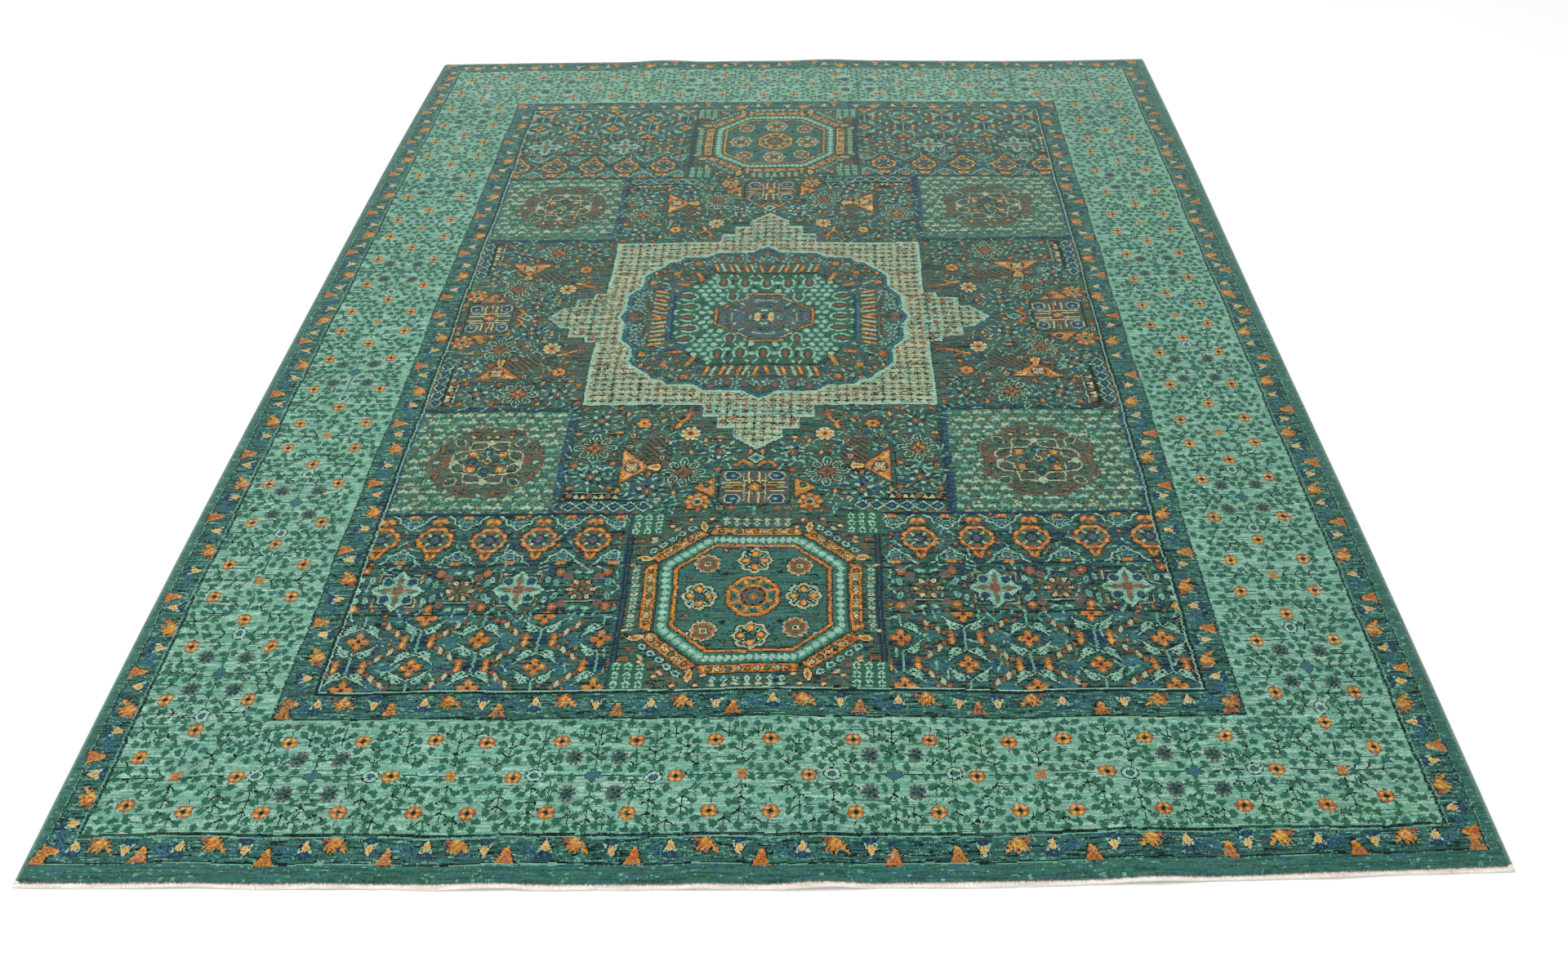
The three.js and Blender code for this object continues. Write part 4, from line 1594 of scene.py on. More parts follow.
def seed(q, x, y, kind):
    """One pale seed, where the green ground is free for it."""
    u, v = q.spot(x, y)
    ground = chart[int(v) - 4:int(v) + 5, int(u) - 4:int(u) + 5]
    free = np.isin(ground, [CODE[k] for k in "gtdhk"]).mean() > 0.9
    if free and x < 110 and y < 95 and x + 0.95 * y < 158:
        if x > 63 or y > 20 + 0.7 * (60 - x):
            q.motif(f"{'m' if kind == 2 else 'j'} oval 4.4 3.7, m oval 2.6 1.8", x, y, 25 * kind)


def seeds_and_cypresses():
    """Pale seeds in staggered rows on green, and a ring of cypresses under pale arches."""
    part, inside = inside_of(all_round(SEED_ZONE_QUARTER, 3))
    fill_round(SEED_ZONE_QUARTER, ((0, "k"), (1.5, "g")))
    streaks(part, "g>d 0.34 7, t 0.2, h 0.14, k 0.14", inside=inside)
    for side in ("left", "right"):
        for end in ("near", "far"):
            q = Quarter(side, end)
            q.scatter(CYPRESS, "0 74, 27.5 74, 54 75, 93 0 -90, 91 23 -90, 95 45 -80")
            q.motif(CYPRESS, 41, 44, scale=0.86)
            for x in (15, 41):
                q.line([(x, 62 if x == 15 else 66), (x, 96)], "k", 1.8)
                q.motif("w leaf 6 1.6", x, 88, 90)
            for j, y in enumerate(np.arange(1, 97, 9.4)):
                for i, x in enumerate(np.arange(14, 112, 11.2)):
                    seed(q, x + 5.6 * (j % 2) + (i * 5 + j * 3) % 4 * 0.4, y, (i + j) % 4)


def medallion():
    """The medallion from its outline inwards."""
    fill_round(MEDALLION_QUARTER, ((-3.4, "m"), (1.0, "k"), (2.2, "b"), (6.4, "k"), (7.6, "d")))
    part, inside = inside_of(all_round(MEDALLION_QUARTER, 2.2))
    streaks(part, "b>t 0.4 10, n 0.25", inside=inside)
    part, inside = inside_of(all_round(MEDALLION_QUARTER, 10))
    streaks(part, "d>w 0.3 12, h 0.14, k 0.14, t 0.2, n 0.08", inside=inside)
    seeds_and_cypresses()
    fill_round(DARK_OCTAGON_QUARTER,
               ((-2.4, "k"), (-1.4, "r"), (-0.6, "o"), (1.6, "r"), (2.3, "k"), (3.2, "d")))
    part, inside = inside_of(all_round(DARK_OCTAGON_QUARTER, 3.5))
    streaks(part, "d>p 0.3 9, h 0.18, w 0.14, k 0.14, b 0.14, n 0.16", inside=inside)
    for draw in (medallion_panels, medallion_corner, dark_octagon):
        quarters(draw)


star_ground()
quarters(star_marks)
medallion()
print("star and medallion laid")


# %% [markdown]
# ## Small filling
# A weaver leaves no large free ground in such a field. Wherever there is still room come tiny
# leaf pairs, buds, dots and diamonds, the same in all four quarters. Then the borders are laid
# over whatever ran out of the field, so that the field ends at its own line.

# %% Small filling and the field's edge
LEAF_PAIR = "k oval 1.4 1.4, j leaf 3.4 1.2 x2 >3 @25, m leaf 2 0.8 >3 @25"
TWO_LEAVES = "j leaf 3.2 1.1 >3 @30, h leaf 3.4 1.2 >3 @150"
BROWN_DOT = "k oval 3.4 2.8, w oval 2.6 2, r oval 1.1 0.9"
RUST_DOT = "k oval 3 2.6, r oval 2.3 1.9, o oval 1 0.8"
NAVY_DOT = "n diamond 4 3.2, b oval 1.2 1"
GREEN_DOT = "g oval 3.2 2.4, s oval 1 0.8"
FILLING = (LEAF_PAIR, BROWN_DOT, TWO_LEAVES, NAVY_DOT, LEAF_PAIR, RUST_DOT, GREEN_DOT, TWO_LEAVES)
FREE_GROUND = [CODE[letter] for letter in "dthwkngb"]


def fill_free_ground(q, x_places, y_places, margin=3):
    """Small motifs on a loose grid, each only where nothing else stands within a margin."""
    choice = np.random.default_rng(11)
    count = 0
    for y in y_places:
        for x in x_places:
            kind, (dx, dy) = choice.integers(len(FILLING)), choice.uniform(-2.6, 2.6, 2)
            turn = choice.integers(360)
            in_star = x < 216 and y < 176 or x + y < 280 and (x < 66 or y < 54)
            in_medallion_panel = x > 112 and x < 156 and y < 118 or y > 98 and y < 138 and x < 140
            if in_star and not (in_medallion_panel and x + y < 262):
                continue
            u, v = q.spot(x + dx, y + dy)
            part = chart[int(v) - margin:int(v) + margin + 1, int(u) - margin:int(u) + margin + 1]
            if np.isin(part, FREE_GROUND).all() and (part == CODE["n"]).sum() < 25:
                q.motif(FILLING[kind], x + dx, y + dy, turn)
                count += 1
    return count


middle_places = np.arange(3, 380, 6.4), np.arange(3, 346, 6.2)
DULLED_SIDE = "m>t 0.22 2, j>t 0.2 2, y>w 0.2 2, c>s 0.2 2, h>d 0.2 4, o>r 0.15 2"
MIXED_YARNS = "o>r 0.2 2, w 0.1 3, y 0.12 2, r>w 0.28 3, k 0.1 2, d>w 0.1 6, t>b 0.12 6"
MIXED_IN_MIDDLE = MIXED_YARNS + ", d>k 0.1 4, m>j 0.24 2, s>w 0.05 2"
# Painted sheen for the far end, seen at a low angle: orange turns partly gold and sage, and rust turns
# taupe.
FAR_END_PAINTED_SHEEN = "o>y 0.3 2, s 0.06, r>w 0.3 2"
end_places = np.arange(130, 380, 6.6), np.arange(354, 575, 6.4)
for side in ("left", "right"):
    for end in ("near", "far"):
        q, q_row = Quarter(side, end), Quarter(side, end, row=True)
        in_middle = fill_free_ground(q, *middle_places)
        streaks(q.part(0, 0, 380, 346), MIXED_IN_MIDDLE)
        at_end = fill_free_ground(q_row, *end_places)
        # The compartments at the left and right of the star are darker than the others.
        streaks(q.part(216, 0, 380, 176), DULLED_SIDE)
        streaks(q_row.part(0, 350, 126, 577), MIXED_YARNS, weight=0.6)
        # The far end's rows are made paler with painted sheen.
        if end == "far":
            streaks(q_row.part(0, 350, 378, 577), FAR_END_PAINTED_SHEEN)
        print(f"small motifs, {side} {end}: {in_middle} and {at_end}")
field_box = plan_box("field")
inside_field = np.zeros(chart.shape, dtype=bool)
rows_kept = slice(int(round(field_box[1])) + 1, int(round(field_box[3])) - 1)
columns_kept = slice(int(round(field_box[0])) + 1, int(round(field_box[2])) - 1)
inside_field[rows_kept, columns_kept] = True
chart = np.where(inside_field, chart, bordered)
rule(*field_box, "m")
rule(*grown(field_box, 3), "k", 2)


# %% [markdown]
# ## The weaver's hand
# Nobody ties a chart exactly. Rows and columns wander by a knot or two over a hand's width, and
# the sides of every figure waver by a knot from row to row.

# %% The chart as it is knotted
def hand_knotted(drawn):
    """The chart with its rows and columns shifted by a knot or two, as a hand ties it."""
    hand = np.random.default_rng(5)
    row, column = np.arange(KNOTS_ALONG)[:, None], np.arange(KNOTS_ACROSS)[None, :]
    shifts = []
    for along_line, across_line, share in ((row, column, 0.26), (column, row, 0.10)):
        wander = (np.sin(along_line / 23 + 3 * np.sin(across_line / 190))
                  + 0.8 * np.sin(along_line / 61 + across_line / 47))
        runs = hand.random((KNOTS_ALONG, KNOTS_ACROSS // 7 + 1)).repeat(7, axis=1)[:, :KNOTS_ACROSS]
        slip = (runs < share / 2).astype(int) - (runs > 1 - share / 2)
        shifts.append(np.rint(0.65 * wander).astype(int) + slip)
    across_shift, along_shift = shifts
    return drawn[np.clip(row + along_shift, 0, KNOTS_ALONG - 1),
                 np.clip(column + across_shift, 0, KNOTS_ACROSS - 1)]


chart = hand_knotted(chart)
print("the chart is done")


# %% [markdown]
# ## How the rug lies
# A rug is made flat and straight, or nearly: the edges bow outwards where the weaver's tension
# changed, and on the floor its ends carry a few low ripples. Every piece below is first made
# flat, in the rug's own measure, and then laid by this one function, so they all follow the same
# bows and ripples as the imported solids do. The numbers are the same as in the solids' source.

# %% Laying a flat piece
BOWS = {  # how far each edge bows outwards: the heights of 1, 2, 3 ... half waves, in millimetres
    "left": (19, 0, 2), "right": (7, 0, 2), "near": (18.5, -2.2), "far": (7, 6, -4, 3),
}
RIPPLES = (
    # end, across, height, half width, reach, in millimetres
    ("near", 93, 8, 95, 340), ("near", 630, 6.5, 110, 300), ("near", -450, 5.5, 100, 260),
    ("near", -100, 3.5, 80, 200), ("near", -720, 2.5, 100, 200), ("near", -960, 3, 110, 220),
    ("near", 930, 2, 120, 220), ("far", -450, 6, 150, 320), ("far", 120, 4, 160, 280),
)
HALF_WIDTH, HALF_LENGTH = RUG_WIDTH / 2, RUG_LENGTH / 2
BODY_HALF_WIDTH = HALF_WIDTH - BINDING - SEAM
BODY_HALF_LENGTH = HALF_LENGTH - WEB - SEAM


def bow(edge, place):
    """How far an edge bows outwards at a place along it, from -1 to 1."""
    turn = pi * (place + 1) / 2
    return sum(height * np.sin((i + 1) * turn) for i, height in enumerate(BOWS[edge]))


def lift(x, y):
    """How far the ripples raise the cloth."""
    height = np.zeros(np.shape(x))
    for end, crest, high, half_width, reach in RIPPLES:
        from_end = np.maximum(HALF_LENGTH + y if end == "near" else HALF_LENGTH - y, 0)
        aside = np.clip(np.abs(x - crest) / half_width, 0, 1)
        inward = np.clip(from_end / reach, 0, 1)
        height = height + high * (np.cos(aside * pi / 2) * np.cos(inward * pi / 2)) ** 2
    return height


# The weave is drawn a little off its straight lines, but not at the edges. In these tables a
# place in the rug comes first, and then how far the cloth is drawn there, all in millimetres.
SIDEWAYS = ((-1220, -1000, -750, -500, -250, 0, 250, 500, 750, 1000, 1220),
            (0, 9, 11, 6, 2, 0, -2, -9, -6, -1, 0))
LENGTHWAYS = ((-1585, -1400, -1100, -600, 1000, 1585), (0, 4, 0, -6, -8, 0))
ASKEW = ((-1220, -300, 500, 1220), (0, 0, -8, 0))
ASKEW_RIGHT, ASKEW_NEAR = ((600, 1000, 1220), (0, -10, -9)), ((-300, 100), (1, 0))


def drawn_patch(x, y, far, middle_x, middle_y, half_x, half_y):
    """A rounded patch where the cloth is drawn off its line."""
    return far * np.exp(-((x - middle_x) / half_x) ** 2 - ((y - middle_y) / half_y) ** 2)


def laid_plan(x, y):
    """Where a place of the straight rug lies on the floor."""
    s, t = x / HALF_WIDTH, y / HALF_LENGTH
    # A bow is full at its edge and fades out quickly towards the middle of the rug.
    right, left = ((1 + s) / 2) ** 8 * bow("right", t), ((1 - s) / 2) ** 8 * bow("left", t)
    far, near = ((1 + t) / 2) ** 8 * bow("far", s), ((1 - t) / 2) ** 8 * bow("near", s)
    inside_ends = 1 - t ** 8
    askew = np.interp(x, *ASKEW) * inside_ends
    askew = askew + drawn_patch(x, y, 9, 0, -1130, 260, 240)
    askew = askew + drawn_patch(x, y, 13, 270, 800, 360, 130)
    askew = askew + np.interp(x, *ASKEW_RIGHT) * np.interp(y, *ASKEW_NEAR) * inside_ends
    sideways = np.interp(x, *SIDEWAYS) * (1 - t ** 12) + drawn_patch(x, y, -11, 120, 980, 260, 220)
    lengthways = np.interp(y, *LENGTHWAYS) * (1 - s ** 12) + askew
    return x + right - left + sideways, y + far - near + lengthways


def outline_middle():
    """The middle of the laid rug's outline, which the frame has at its origin."""
    place = np.linspace(-1, 1, 401)
    side_x = [laid_plan(side * HALF_WIDTH + 0 * place, place * HALF_LENGTH)[0] for side in (-1, 1)]
    end_y = [laid_plan(place * HALF_WIDTH, end * HALF_LENGTH + 0 * place)[1] for end in (-1, 1)]
    return (side_x[0].min() + side_x[1].max()) / 2, (end_y[0].min() + end_y[1].max()) / 2


MIDDLE_X, MIDDLE_Y = outline_middle()


def lay(points):
    """Flat points in millimetres, with z over the underside, to the laid rug in metres."""
    x, y, z = np.asarray(points, dtype=float).T
    plan_x, plan_y = laid_plan(x, y)
    return np.stack([plan_x - MIDDLE_X, plan_y - MIDDLE_Y, z + lift(x, y)], axis=1) / 1000


print(f"the outline's middle is {MIDDLE_X:.1f}, {MIDDLE_Y:.1f} mm from the cut middle")


# %% [markdown]
# ## The knotted pile
# A mesh face for each knot would be millions of faces, so each face of the pile carries a block
# of six by six knots. The block's yarns are written as six whole numbers on the face, one for
# each row of knots, with one base-16 digit for each knot. The material reads the digit back. The
# cloth is a closed slab: the top with its rounded edge, the sides, and the back, where the same
# knots show.

# %% The pile's mesh
BLOCK = 6  # knots along each side of a face
BLOCKS_X, BLOCKS_Y = KNOTS_ACROSS // BLOCK, KNOTS_ALONG // BLOCK
PILE_THICKNESS = 9.0
RIM_DROP = 1.0  # how much lower the top ends at its edge, which rounds it
RIM_IN, RIM_OUT = 2.2, 1.6  # the top's edge lies in from the sides, and out over the ends
WALL_RINGS = ((6.9, 3.4), (5.1, 2.6), (4.7, 0))  # height, and how far out over the ends


def chart_rows():
    """For each block, from the near left one, six numbers: its rows of knots as base-16 digits."""
    near_first = chart[::-1].astype(np.int64)
    blocks = near_first.reshape(BLOCKS_Y, BLOCK, BLOCKS_X, BLOCK)
    weights = 16 ** np.arange(BLOCK)
    return (blocks * weights).sum(axis=3).transpose(0, 2, 1)


def grid_faces(first, columns, rows, upward=True):
    """Quads over a grid of vertices that starts at index `first` and has columns + 1 per row."""
    j, i = np.mgrid[0:rows, 0:columns]
    a = first + j * (columns + 1) + i
    quads = np.stack([a, a + 1, a + columns + 2, a + columns + 1], axis=-1).reshape(-1, 4)
    return quads if upward else quads[:, ::-1]


def new_piece(name, mesh, material):
    """A smooth shaded object from a mesh, that rides on the rug."""
    mesh.polygons.foreach_set("use_smooth", np.ones(len(mesh.polygons), dtype=bool))
    mesh.materials.append(material)
    piece = bpy.data.objects.new(name, mesh)
    bpy.context.scene.collection.objects.link(piece)
    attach(piece, "root")
    return piece


def new_object(name, points, faces, material):
    """A piece from arrays of points and of faces with the same number of corners."""
    mesh = bpy.data.meshes.new(name)
    mesh.vertices.add(len(points))
    mesh.vertices.foreach_set("co", np.asarray(points, dtype=np.float32).ravel())
    mesh.loops.add(faces.size)
    mesh.polygons.add(len(faces))
    mesh.loops.foreach_set("vertex_index", faces.ravel().astype(np.int32))
    mesh.polygons.foreach_set("loop_start", np.arange(0, faces.size, faces.shape[1], dtype=np.int32))
    mesh.update(calc_edges=True)
    return new_piece(name, mesh, material)


def write_uv(mesh, name, places):
    """A layer of flat coordinates, one pair for each corner of each face."""
    layer = mesh.uv_layers.new(name=name)
    layer.data.foreach_set("uv", places.astype(np.float32).ravel())


def pile_arrays():
    """Vertices, faces, and for each face its block, and for each corner its knot coordinates."""
    i, j = np.arange(BLOCKS_X + 1), np.arange(BLOCKS_Y + 1)
    x = (i / BLOCKS_X * 2 - 1) * BODY_HALF_WIDTH
    y = (j / BLOCKS_Y * 2 - 1) * BODY_HALF_LENGTH
    gx, gy = np.meshgrid(x, y)
    edge_x = np.abs(gx) > BODY_HALF_WIDTH - 0.1
    edge_y = np.abs(gy) > BODY_HALF_LENGTH - 0.1
    top_x = gx - np.sign(gx) * RIM_IN * edge_x
    top_y = gy + np.sign(gy) * RIM_OUT * edge_y
    uneven = np.random.default_rng(3).normal(0, 0.12, gx.shape)
    top_z = PILE_THICKNESS - RIM_DROP * (edge_x | edge_y) + uneven
    layers = [np.stack([top_x, top_y, top_z], -1).reshape(-1, 3)]
    rim = np.concatenate([
        np.arange(BLOCKS_X), BLOCKS_X + (BLOCKS_X + 1) * np.arange(BLOCKS_Y),
        (BLOCKS_X + 1) * (BLOCKS_Y + 1) - 1 - np.arange(BLOCKS_X),
        (BLOCKS_X + 1) * (BLOCKS_Y - np.arange(BLOCKS_Y)),
    ])
    flat = np.stack([gx, gy, 0 * gx], -1).reshape(-1, 3)
    shake = np.random.default_rng(5).normal(0, 0.5, len(rim))
    for height, lean in WALL_RINGS:
        ring = flat[rim].copy()
        at_end = np.abs(ring[:, 1]) > BODY_HALF_LENGTH - 0.1
        ring[:, 1] += np.sign(ring[:, 1]) * at_end * (lean + shake * (lean > 0))
        ring[:, 2] = height
        layers.append(ring)
    layers.append(flat)
    count = len(flat)
    starts = (0, count, count + len(rim), count + 2 * len(rim), count + 3 * len(rim))
    top = grid_faces(starts[0], BLOCKS_X, BLOCKS_Y)
    back = grid_faces(starts[-1], BLOCKS_X, BLOCKS_Y, upward=False)
    ring_ids = [rim] + [start + np.arange(len(rim)) for start in starts[1:-1]] + [starts[-1] + rim]
    sides = []
    for upper, lower in zip(ring_ids[:-1], ring_ids[1:]):
        sides.append(np.stack([lower, np.roll(lower, -1), np.roll(upper, -1), upper], axis=-1))
    faces = np.concatenate([top, back] + sides)
    block = np.arange(BLOCKS_X * BLOCKS_Y).reshape(BLOCKS_Y, BLOCKS_X)
    rim_block = np.concatenate([block[0], block[:, -1], block[-1, ::-1], block[::-1, 0]])
    face_block = np.concatenate([block.ravel(), block.ravel()] + [rim_block] * len(sides))
    square = np.array([(0, 0), (BLOCK, 0), (BLOCK, BLOCK), (0, BLOCK)], dtype=float)
    knots = np.concatenate([np.tile(square, (len(top), 1, 1)), np.tile(square[::-1], (len(back), 1, 1))])
    walls = []
    low, high = 0.4, BLOCK - 0.4
    for corners in (((0, low), (BLOCK, low)), ((high, 0), (high, BLOCK)),
                    ((BLOCK, high), (0, high)), ((low, BLOCK), (low, 0))):
        count = BLOCKS_X if corners[0][1] == corners[1][1] else BLOCKS_Y
        walls.append(np.tile(np.array([corners[0], corners[1], corners[1], corners[0]]), (count, 1, 1)))
    knots = np.concatenate([knots] + [np.concatenate(walls)] * len(sides))
    return np.concatenate(layers), faces, face_block, knots, (len(top), len(rim))


flat_points, pile_faces, face_block, knot_corners, (top_count, rim_count) = pile_arrays()
print(f"pile: {len(pile_faces)} faces, {2 * len(pile_faces)} triangles")


# %% [markdown]
# ## Wool yarn
# The pile is hand-spun wool, dyed in small lots. It shows four things at once: the chart's yarn;
# long faint bands across the rug where one dye lot gave way to the next, which weavers call
# abrash; short streaks along the rows, where the yarn itself is uneven; and the grain of the
# knots, each a tiny tuft a little lighter or darker than its neighbours. Wool is matt, and its
# fibre tips catch a little light at a low angle, which is the shader's sheen.

# %% Pile material
def one_of_three(tree, number, first):
    """A vector with 1 at the place of a whole number from first to first + 2, and 0 elsewhere."""
    thrice = node(tree, "CombineXYZ", None, number, number, number)
    away = node(tree, "VectorMath", "SUBTRACT", thrice, (first, first + 1, first + 2))
    capped = node(tree, "VectorMath", "MINIMUM", node(tree, "VectorMath", "ABSOLUTE", away), (1, 1, 1))
    return node(tree, "VectorMath", "SUBTRACT", (1, 1, 1), capped)


def one_of_six(tree, number, first_three, last_three):
    """The one of six values that a whole number from 0 to 5 asks for."""
    halves = [node(tree, "VectorMath", "DOT_PRODUCT", one_of_three(tree, number, first), values)
              for first, values in ((0, first_three), (3, last_three))]
    return node(tree, "Math", "ADD", *halves)


def knot_index(tree, coordinate):
    """Which of a block's knots a place is in, from 0 to 5."""
    whole = node(tree, "Math", "FLOOR", coordinate)
    return node(tree, "Math", "MAXIMUM", node(tree, "Math", "MINIMUM", whole, BLOCK - 1), 0)


def charted_yarn(tree, column, row):
    """The code of the yarn at a knot, read from the face's six numbers."""
    rows = [node(tree, "Attribute", {"attribute_name": name}).outputs["Vector"]
            for name in ("knots_a", "knots_b")]
    shrinks = [16 ** -digit for digit in range(BLOCK)]
    value = one_of_six(tree, row, *rows)
    shrink = one_of_six(tree, column, shrinks[:3], shrinks[3:])
    digits = node(tree, "Math", "FLOOR", node(tree, "Math", "MULTIPLY", value, shrink))
    return node(tree, "Math", "MODULO", digits, 16)


def yarn_ramp(tree, code):
    """The colour of a yarn, from its code."""
    ramp = node(tree, "ValToRGB", None, node(tree, "Math", "MULTIPLY_ADD", code, 1 / 16, 1 / 32))
    ramp.color_ramp.interpolation = "CONSTANT"
    stops = ramp.color_ramp.elements
    stops[1].position = 15 / 16
    for k in range(1, 15):
        stops.new(k / 16)
    for k, colour in enumerate(YARNS.values()):
        stops[k].color = linear(colour)
    return ramp


def streak(tree, place, size_mm, detail=3.0):
    """Noise whose grains are size_mm long in each direction."""
    scaled = node(tree, "Mapping", Vector=place, Scale=tuple(1 / s for s in size_mm))
    return node(tree, "TexNoise", Vector=scaled, Scale=1.0, Detail=detail, Roughness=0.6)


def shades(tree, place, size_mm, low, high, detail=3.0):
    """Such noise, with the middle of its range stretched to run from low to high."""
    return node(tree, "MapRange", Value=streak(tree, place, size_mm, detail), From_Min=0.3,
                From_Max=0.7, To_Min=low, To_Max=high)


def pile_material():
    """Matt dyed wool: faint bands and short streaks of shade, each knot a little its own, and sheen."""
    material, tree, shader = new_material("dyed_wool_pile", 0.92, 0.05, 0.9)
    shader.inputs["Sheen Roughness"].default_value = 0.36
    shader.inputs["Sheen Tint"].default_value = linear("#d8f2e4")
    place = node(tree, "UVMap", {"uv_map": "Millimetres"})
    parts = node(tree, "SeparateXYZ", None, node(tree, "UVMap", {"uv_map": "KnotInBlock"}))
    column, row = knot_index(tree, parts.outputs[0]), knot_index(tree, parts.outputs[1])

    lots = shades(tree, place, (1800, 26, 1), 0.90, 1.10, 2.0)
    runs = shades(tree, place, (80, 3.4, 1), 0.74, 1.26)
    clumps = shades(tree, place, (9, 5, 1), 0.84, 1.16, 2.0)
    knot_place = node(tree, "VectorMath", "FLOOR", node(tree, "VectorMath", "SCALE", place, Scale=1 / KNOT))
    chance = node(tree, "TexWhiteNoise", {"noise_dimensions": "2D"}, Vector=knot_place)
    shade = node(tree, "MapRange", Value=chance, To_Min=0.80, To_Max=1.18)
    for uneven in (lots, runs, clumps):
        shade = node(tree, "Math", "MULTIPLY", shade, uneven)
    hue = shades(tree, place, (900, 34, 1), 0.485, 0.515, 2.0)
    worn = shades(tree, place, (260, 12, 1), 0.85, 1.08)
    dyed = node(tree, "HueSaturation", Hue=hue, Saturation=worn, Value=shade,
                Color=yarn_ramp(tree, charted_yarn(tree, column, row)))
    tree.links.new(dyed.outputs["Color"], shader.inputs["Base Color"])

    fuzz = node(tree, "Math", "MULTIPLY", streak(tree, place, (1.1, 1.1, 1), 2.0), 0.5)
    height = node(tree, "Math", "ADD", fuzz, streak(tree, place, (40, 6, 1)))
    bump = node(tree, "Bump", Strength=0.6, Distance=0.0012, Height=height)
    tree.links.new(bump.outputs["Normal"], shader.inputs["Normal"])
    return material


def write_pile(mesh, codes):
    """Write each face's six numbers, where its knots are, and a layer of its own for baking."""
    for name, part in (("knots_a", codes[:, :, :3]), ("knots_b", codes[:, :, 3:])):
        layer = mesh.attributes.new(name, "FLOAT_VECTOR", "FACE")
        layer.data.foreach_set("vector", part.reshape(-1, 3)[face_block].astype(np.float32).ravel())
    write_uv(mesh, "KnotInBlock", knot_corners)
    origin = np.stack([face_block % BLOCKS_X, face_block // BLOCKS_X], axis=-1) * BLOCK
    real = (knot_corners + origin[:, None, :]) * KNOT
    write_uv(mesh, "Millimetres", real)
    # The top takes most of the baked picture, the back a smaller part, and each wall a strip.
    share = real / (KNOTS_ACROSS * KNOT, KNOTS_ALONG * KNOT)
    bake = share * (0.765, 0.998) + 0.001
    bake[top_count:2 * top_count] = share[top_count:2 * top_count] * (0.205, 0.998) + (0.770, 0.001)
    for ring in range(4):
        part = slice(2 * top_count + ring * rim_count, 2 * top_count + (ring + 1) * rim_count)
        steps = np.arange(rim_count)[:, None] + np.array([0, 1, 1, 0])
        width = np.array([0, 0, 1, 1]) * 0.004
        bake[part] = np.stack([0.979 + 0.005 * ring + width + 0 * steps, steps / rim_count * 0.998], -1)
    write_uv(mesh, "OFBake", bake)


pile = new_object("pile", lay(flat_points), pile_faces, pile_material())
write_pile(pile.data, chart_rows())
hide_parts("pile_body")
print("pile laid:", [round(v, 3) for v in pile.dimensions])


# %% [markdown]
# ## The ragged edge
# Where the pile ends, its outermost knots have nothing beside them to hold them upright, so
# their tufts splay out over the woven ends and the wound sides. Each is a small closed spike of
# wool here, paler at random: a painted highlight, for the cut tips that scatter more light than the flat
# pile.

# %% Edge tufts
TUFT_SHAPE = np.array([(-0.75, 0, 0), (0.75, 0, 0), (0, 0.3, 1.3), (0, 1, -0.1)])  # the last is the tip
TUFT_SIDES = np.array([(0, 1, 2), (1, 3, 2), (3, 0, 2), (0, 3, 1)])


def tufts_along(length, inner, outer_axis, sign, seed, reach):
    """Spikes along one edge, `inner` from the rug's middle, that reach out over it."""
    chance = np.random.default_rng(seed)
    count = int(length / KNOT) * 2
    run = (np.arange(count) + chance.uniform(-0.5, 0.5, count)) / count * length - length / 2
    out = chance.uniform(0.35, 1.15, count) * reach
    height = chance.uniform(4.6, 7.6, count)
    droop = chance.uniform(-1.6, 0.6, count)
    swerve = chance.normal(0, 0.8, count)
    along_edge = run[:, None] + TUFT_SHAPE[:, 0] * 0.9 + swerve[:, None] * TUFT_SHAPE[:, 1]
    outwards = inner - 0.6 + out[:, None] * TUFT_SHAPE[:, 1]
    z = height[:, None] + TUFT_SHAPE[:, 2] + droop[:, None] * TUFT_SHAPE[:, 1]
    pair = (along_edge, sign * outwards) if outer_axis == 1 else (sign * outwards, along_edge)
    return np.stack([*pair, z], -1).reshape(-1, 3)


def tuft_material():
    """Cut wool tips: from dark to pale jade at random, the pale ones a painted highlight of lit tips, as
    matt as the pile and with less sheen.
    """
    material, tree, shader = new_material("splayed_wool_tips", 0.92, 0.05, 0.4)
    spot = node(tree, "TexCoord").outputs["Object"]
    light = shades(tree, spot, (0.003, 0.003, 0.003), 0.0, 1.0, 1.0)
    colour = node(tree, "Mix", {"data_type": "RGBA"}, Factor=light, A=linear("#1d3b33"), B=linear("#76998b"))
    tree.links.new(colour.outputs["Result"], shader.inputs["Base Color"])
    return material


edges = [tufts_along(2 * BODY_HALF_WIDTH - 4, BODY_HALF_LENGTH + 3.0, 1, sign, 31 + sign, 5.4)
         for sign in (-1, 1)]
edges += [tufts_along(2 * BODY_HALF_LENGTH - 4, BODY_HALF_WIDTH, 0, sign, 41 + sign, 4.6)
          for sign in (-1, 1)]
spikes = np.concatenate(edges)
spike_faces = (np.arange(len(spikes) // 4)[:, None, None] * 4 + TUFT_SIDES).reshape(-1, 3)
tufts = new_object("pile_edge_tufts", lay(spikes), spike_faces, tuft_material())
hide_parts("pile_body")
print("tufts along the edges:", len(spikes) // 4)


# %% [markdown]
# ## The wound sides
# The outermost warps of each side are wrapped with wool, turn beside turn, into a cord about
# seven millimetres thick. Each turn is a real ridge here, because the sides are seen in outline.

# %% Side bindings
WRAP = 2.6  # the width of one turn of yarn
BINDING_SIDES = 10
VALLEY = 0.86  # the cord's radius between two turns, as a share of its radius on a turn
TURN_SLANT = 0.9  # how far a turn runs along the cord while it goes round


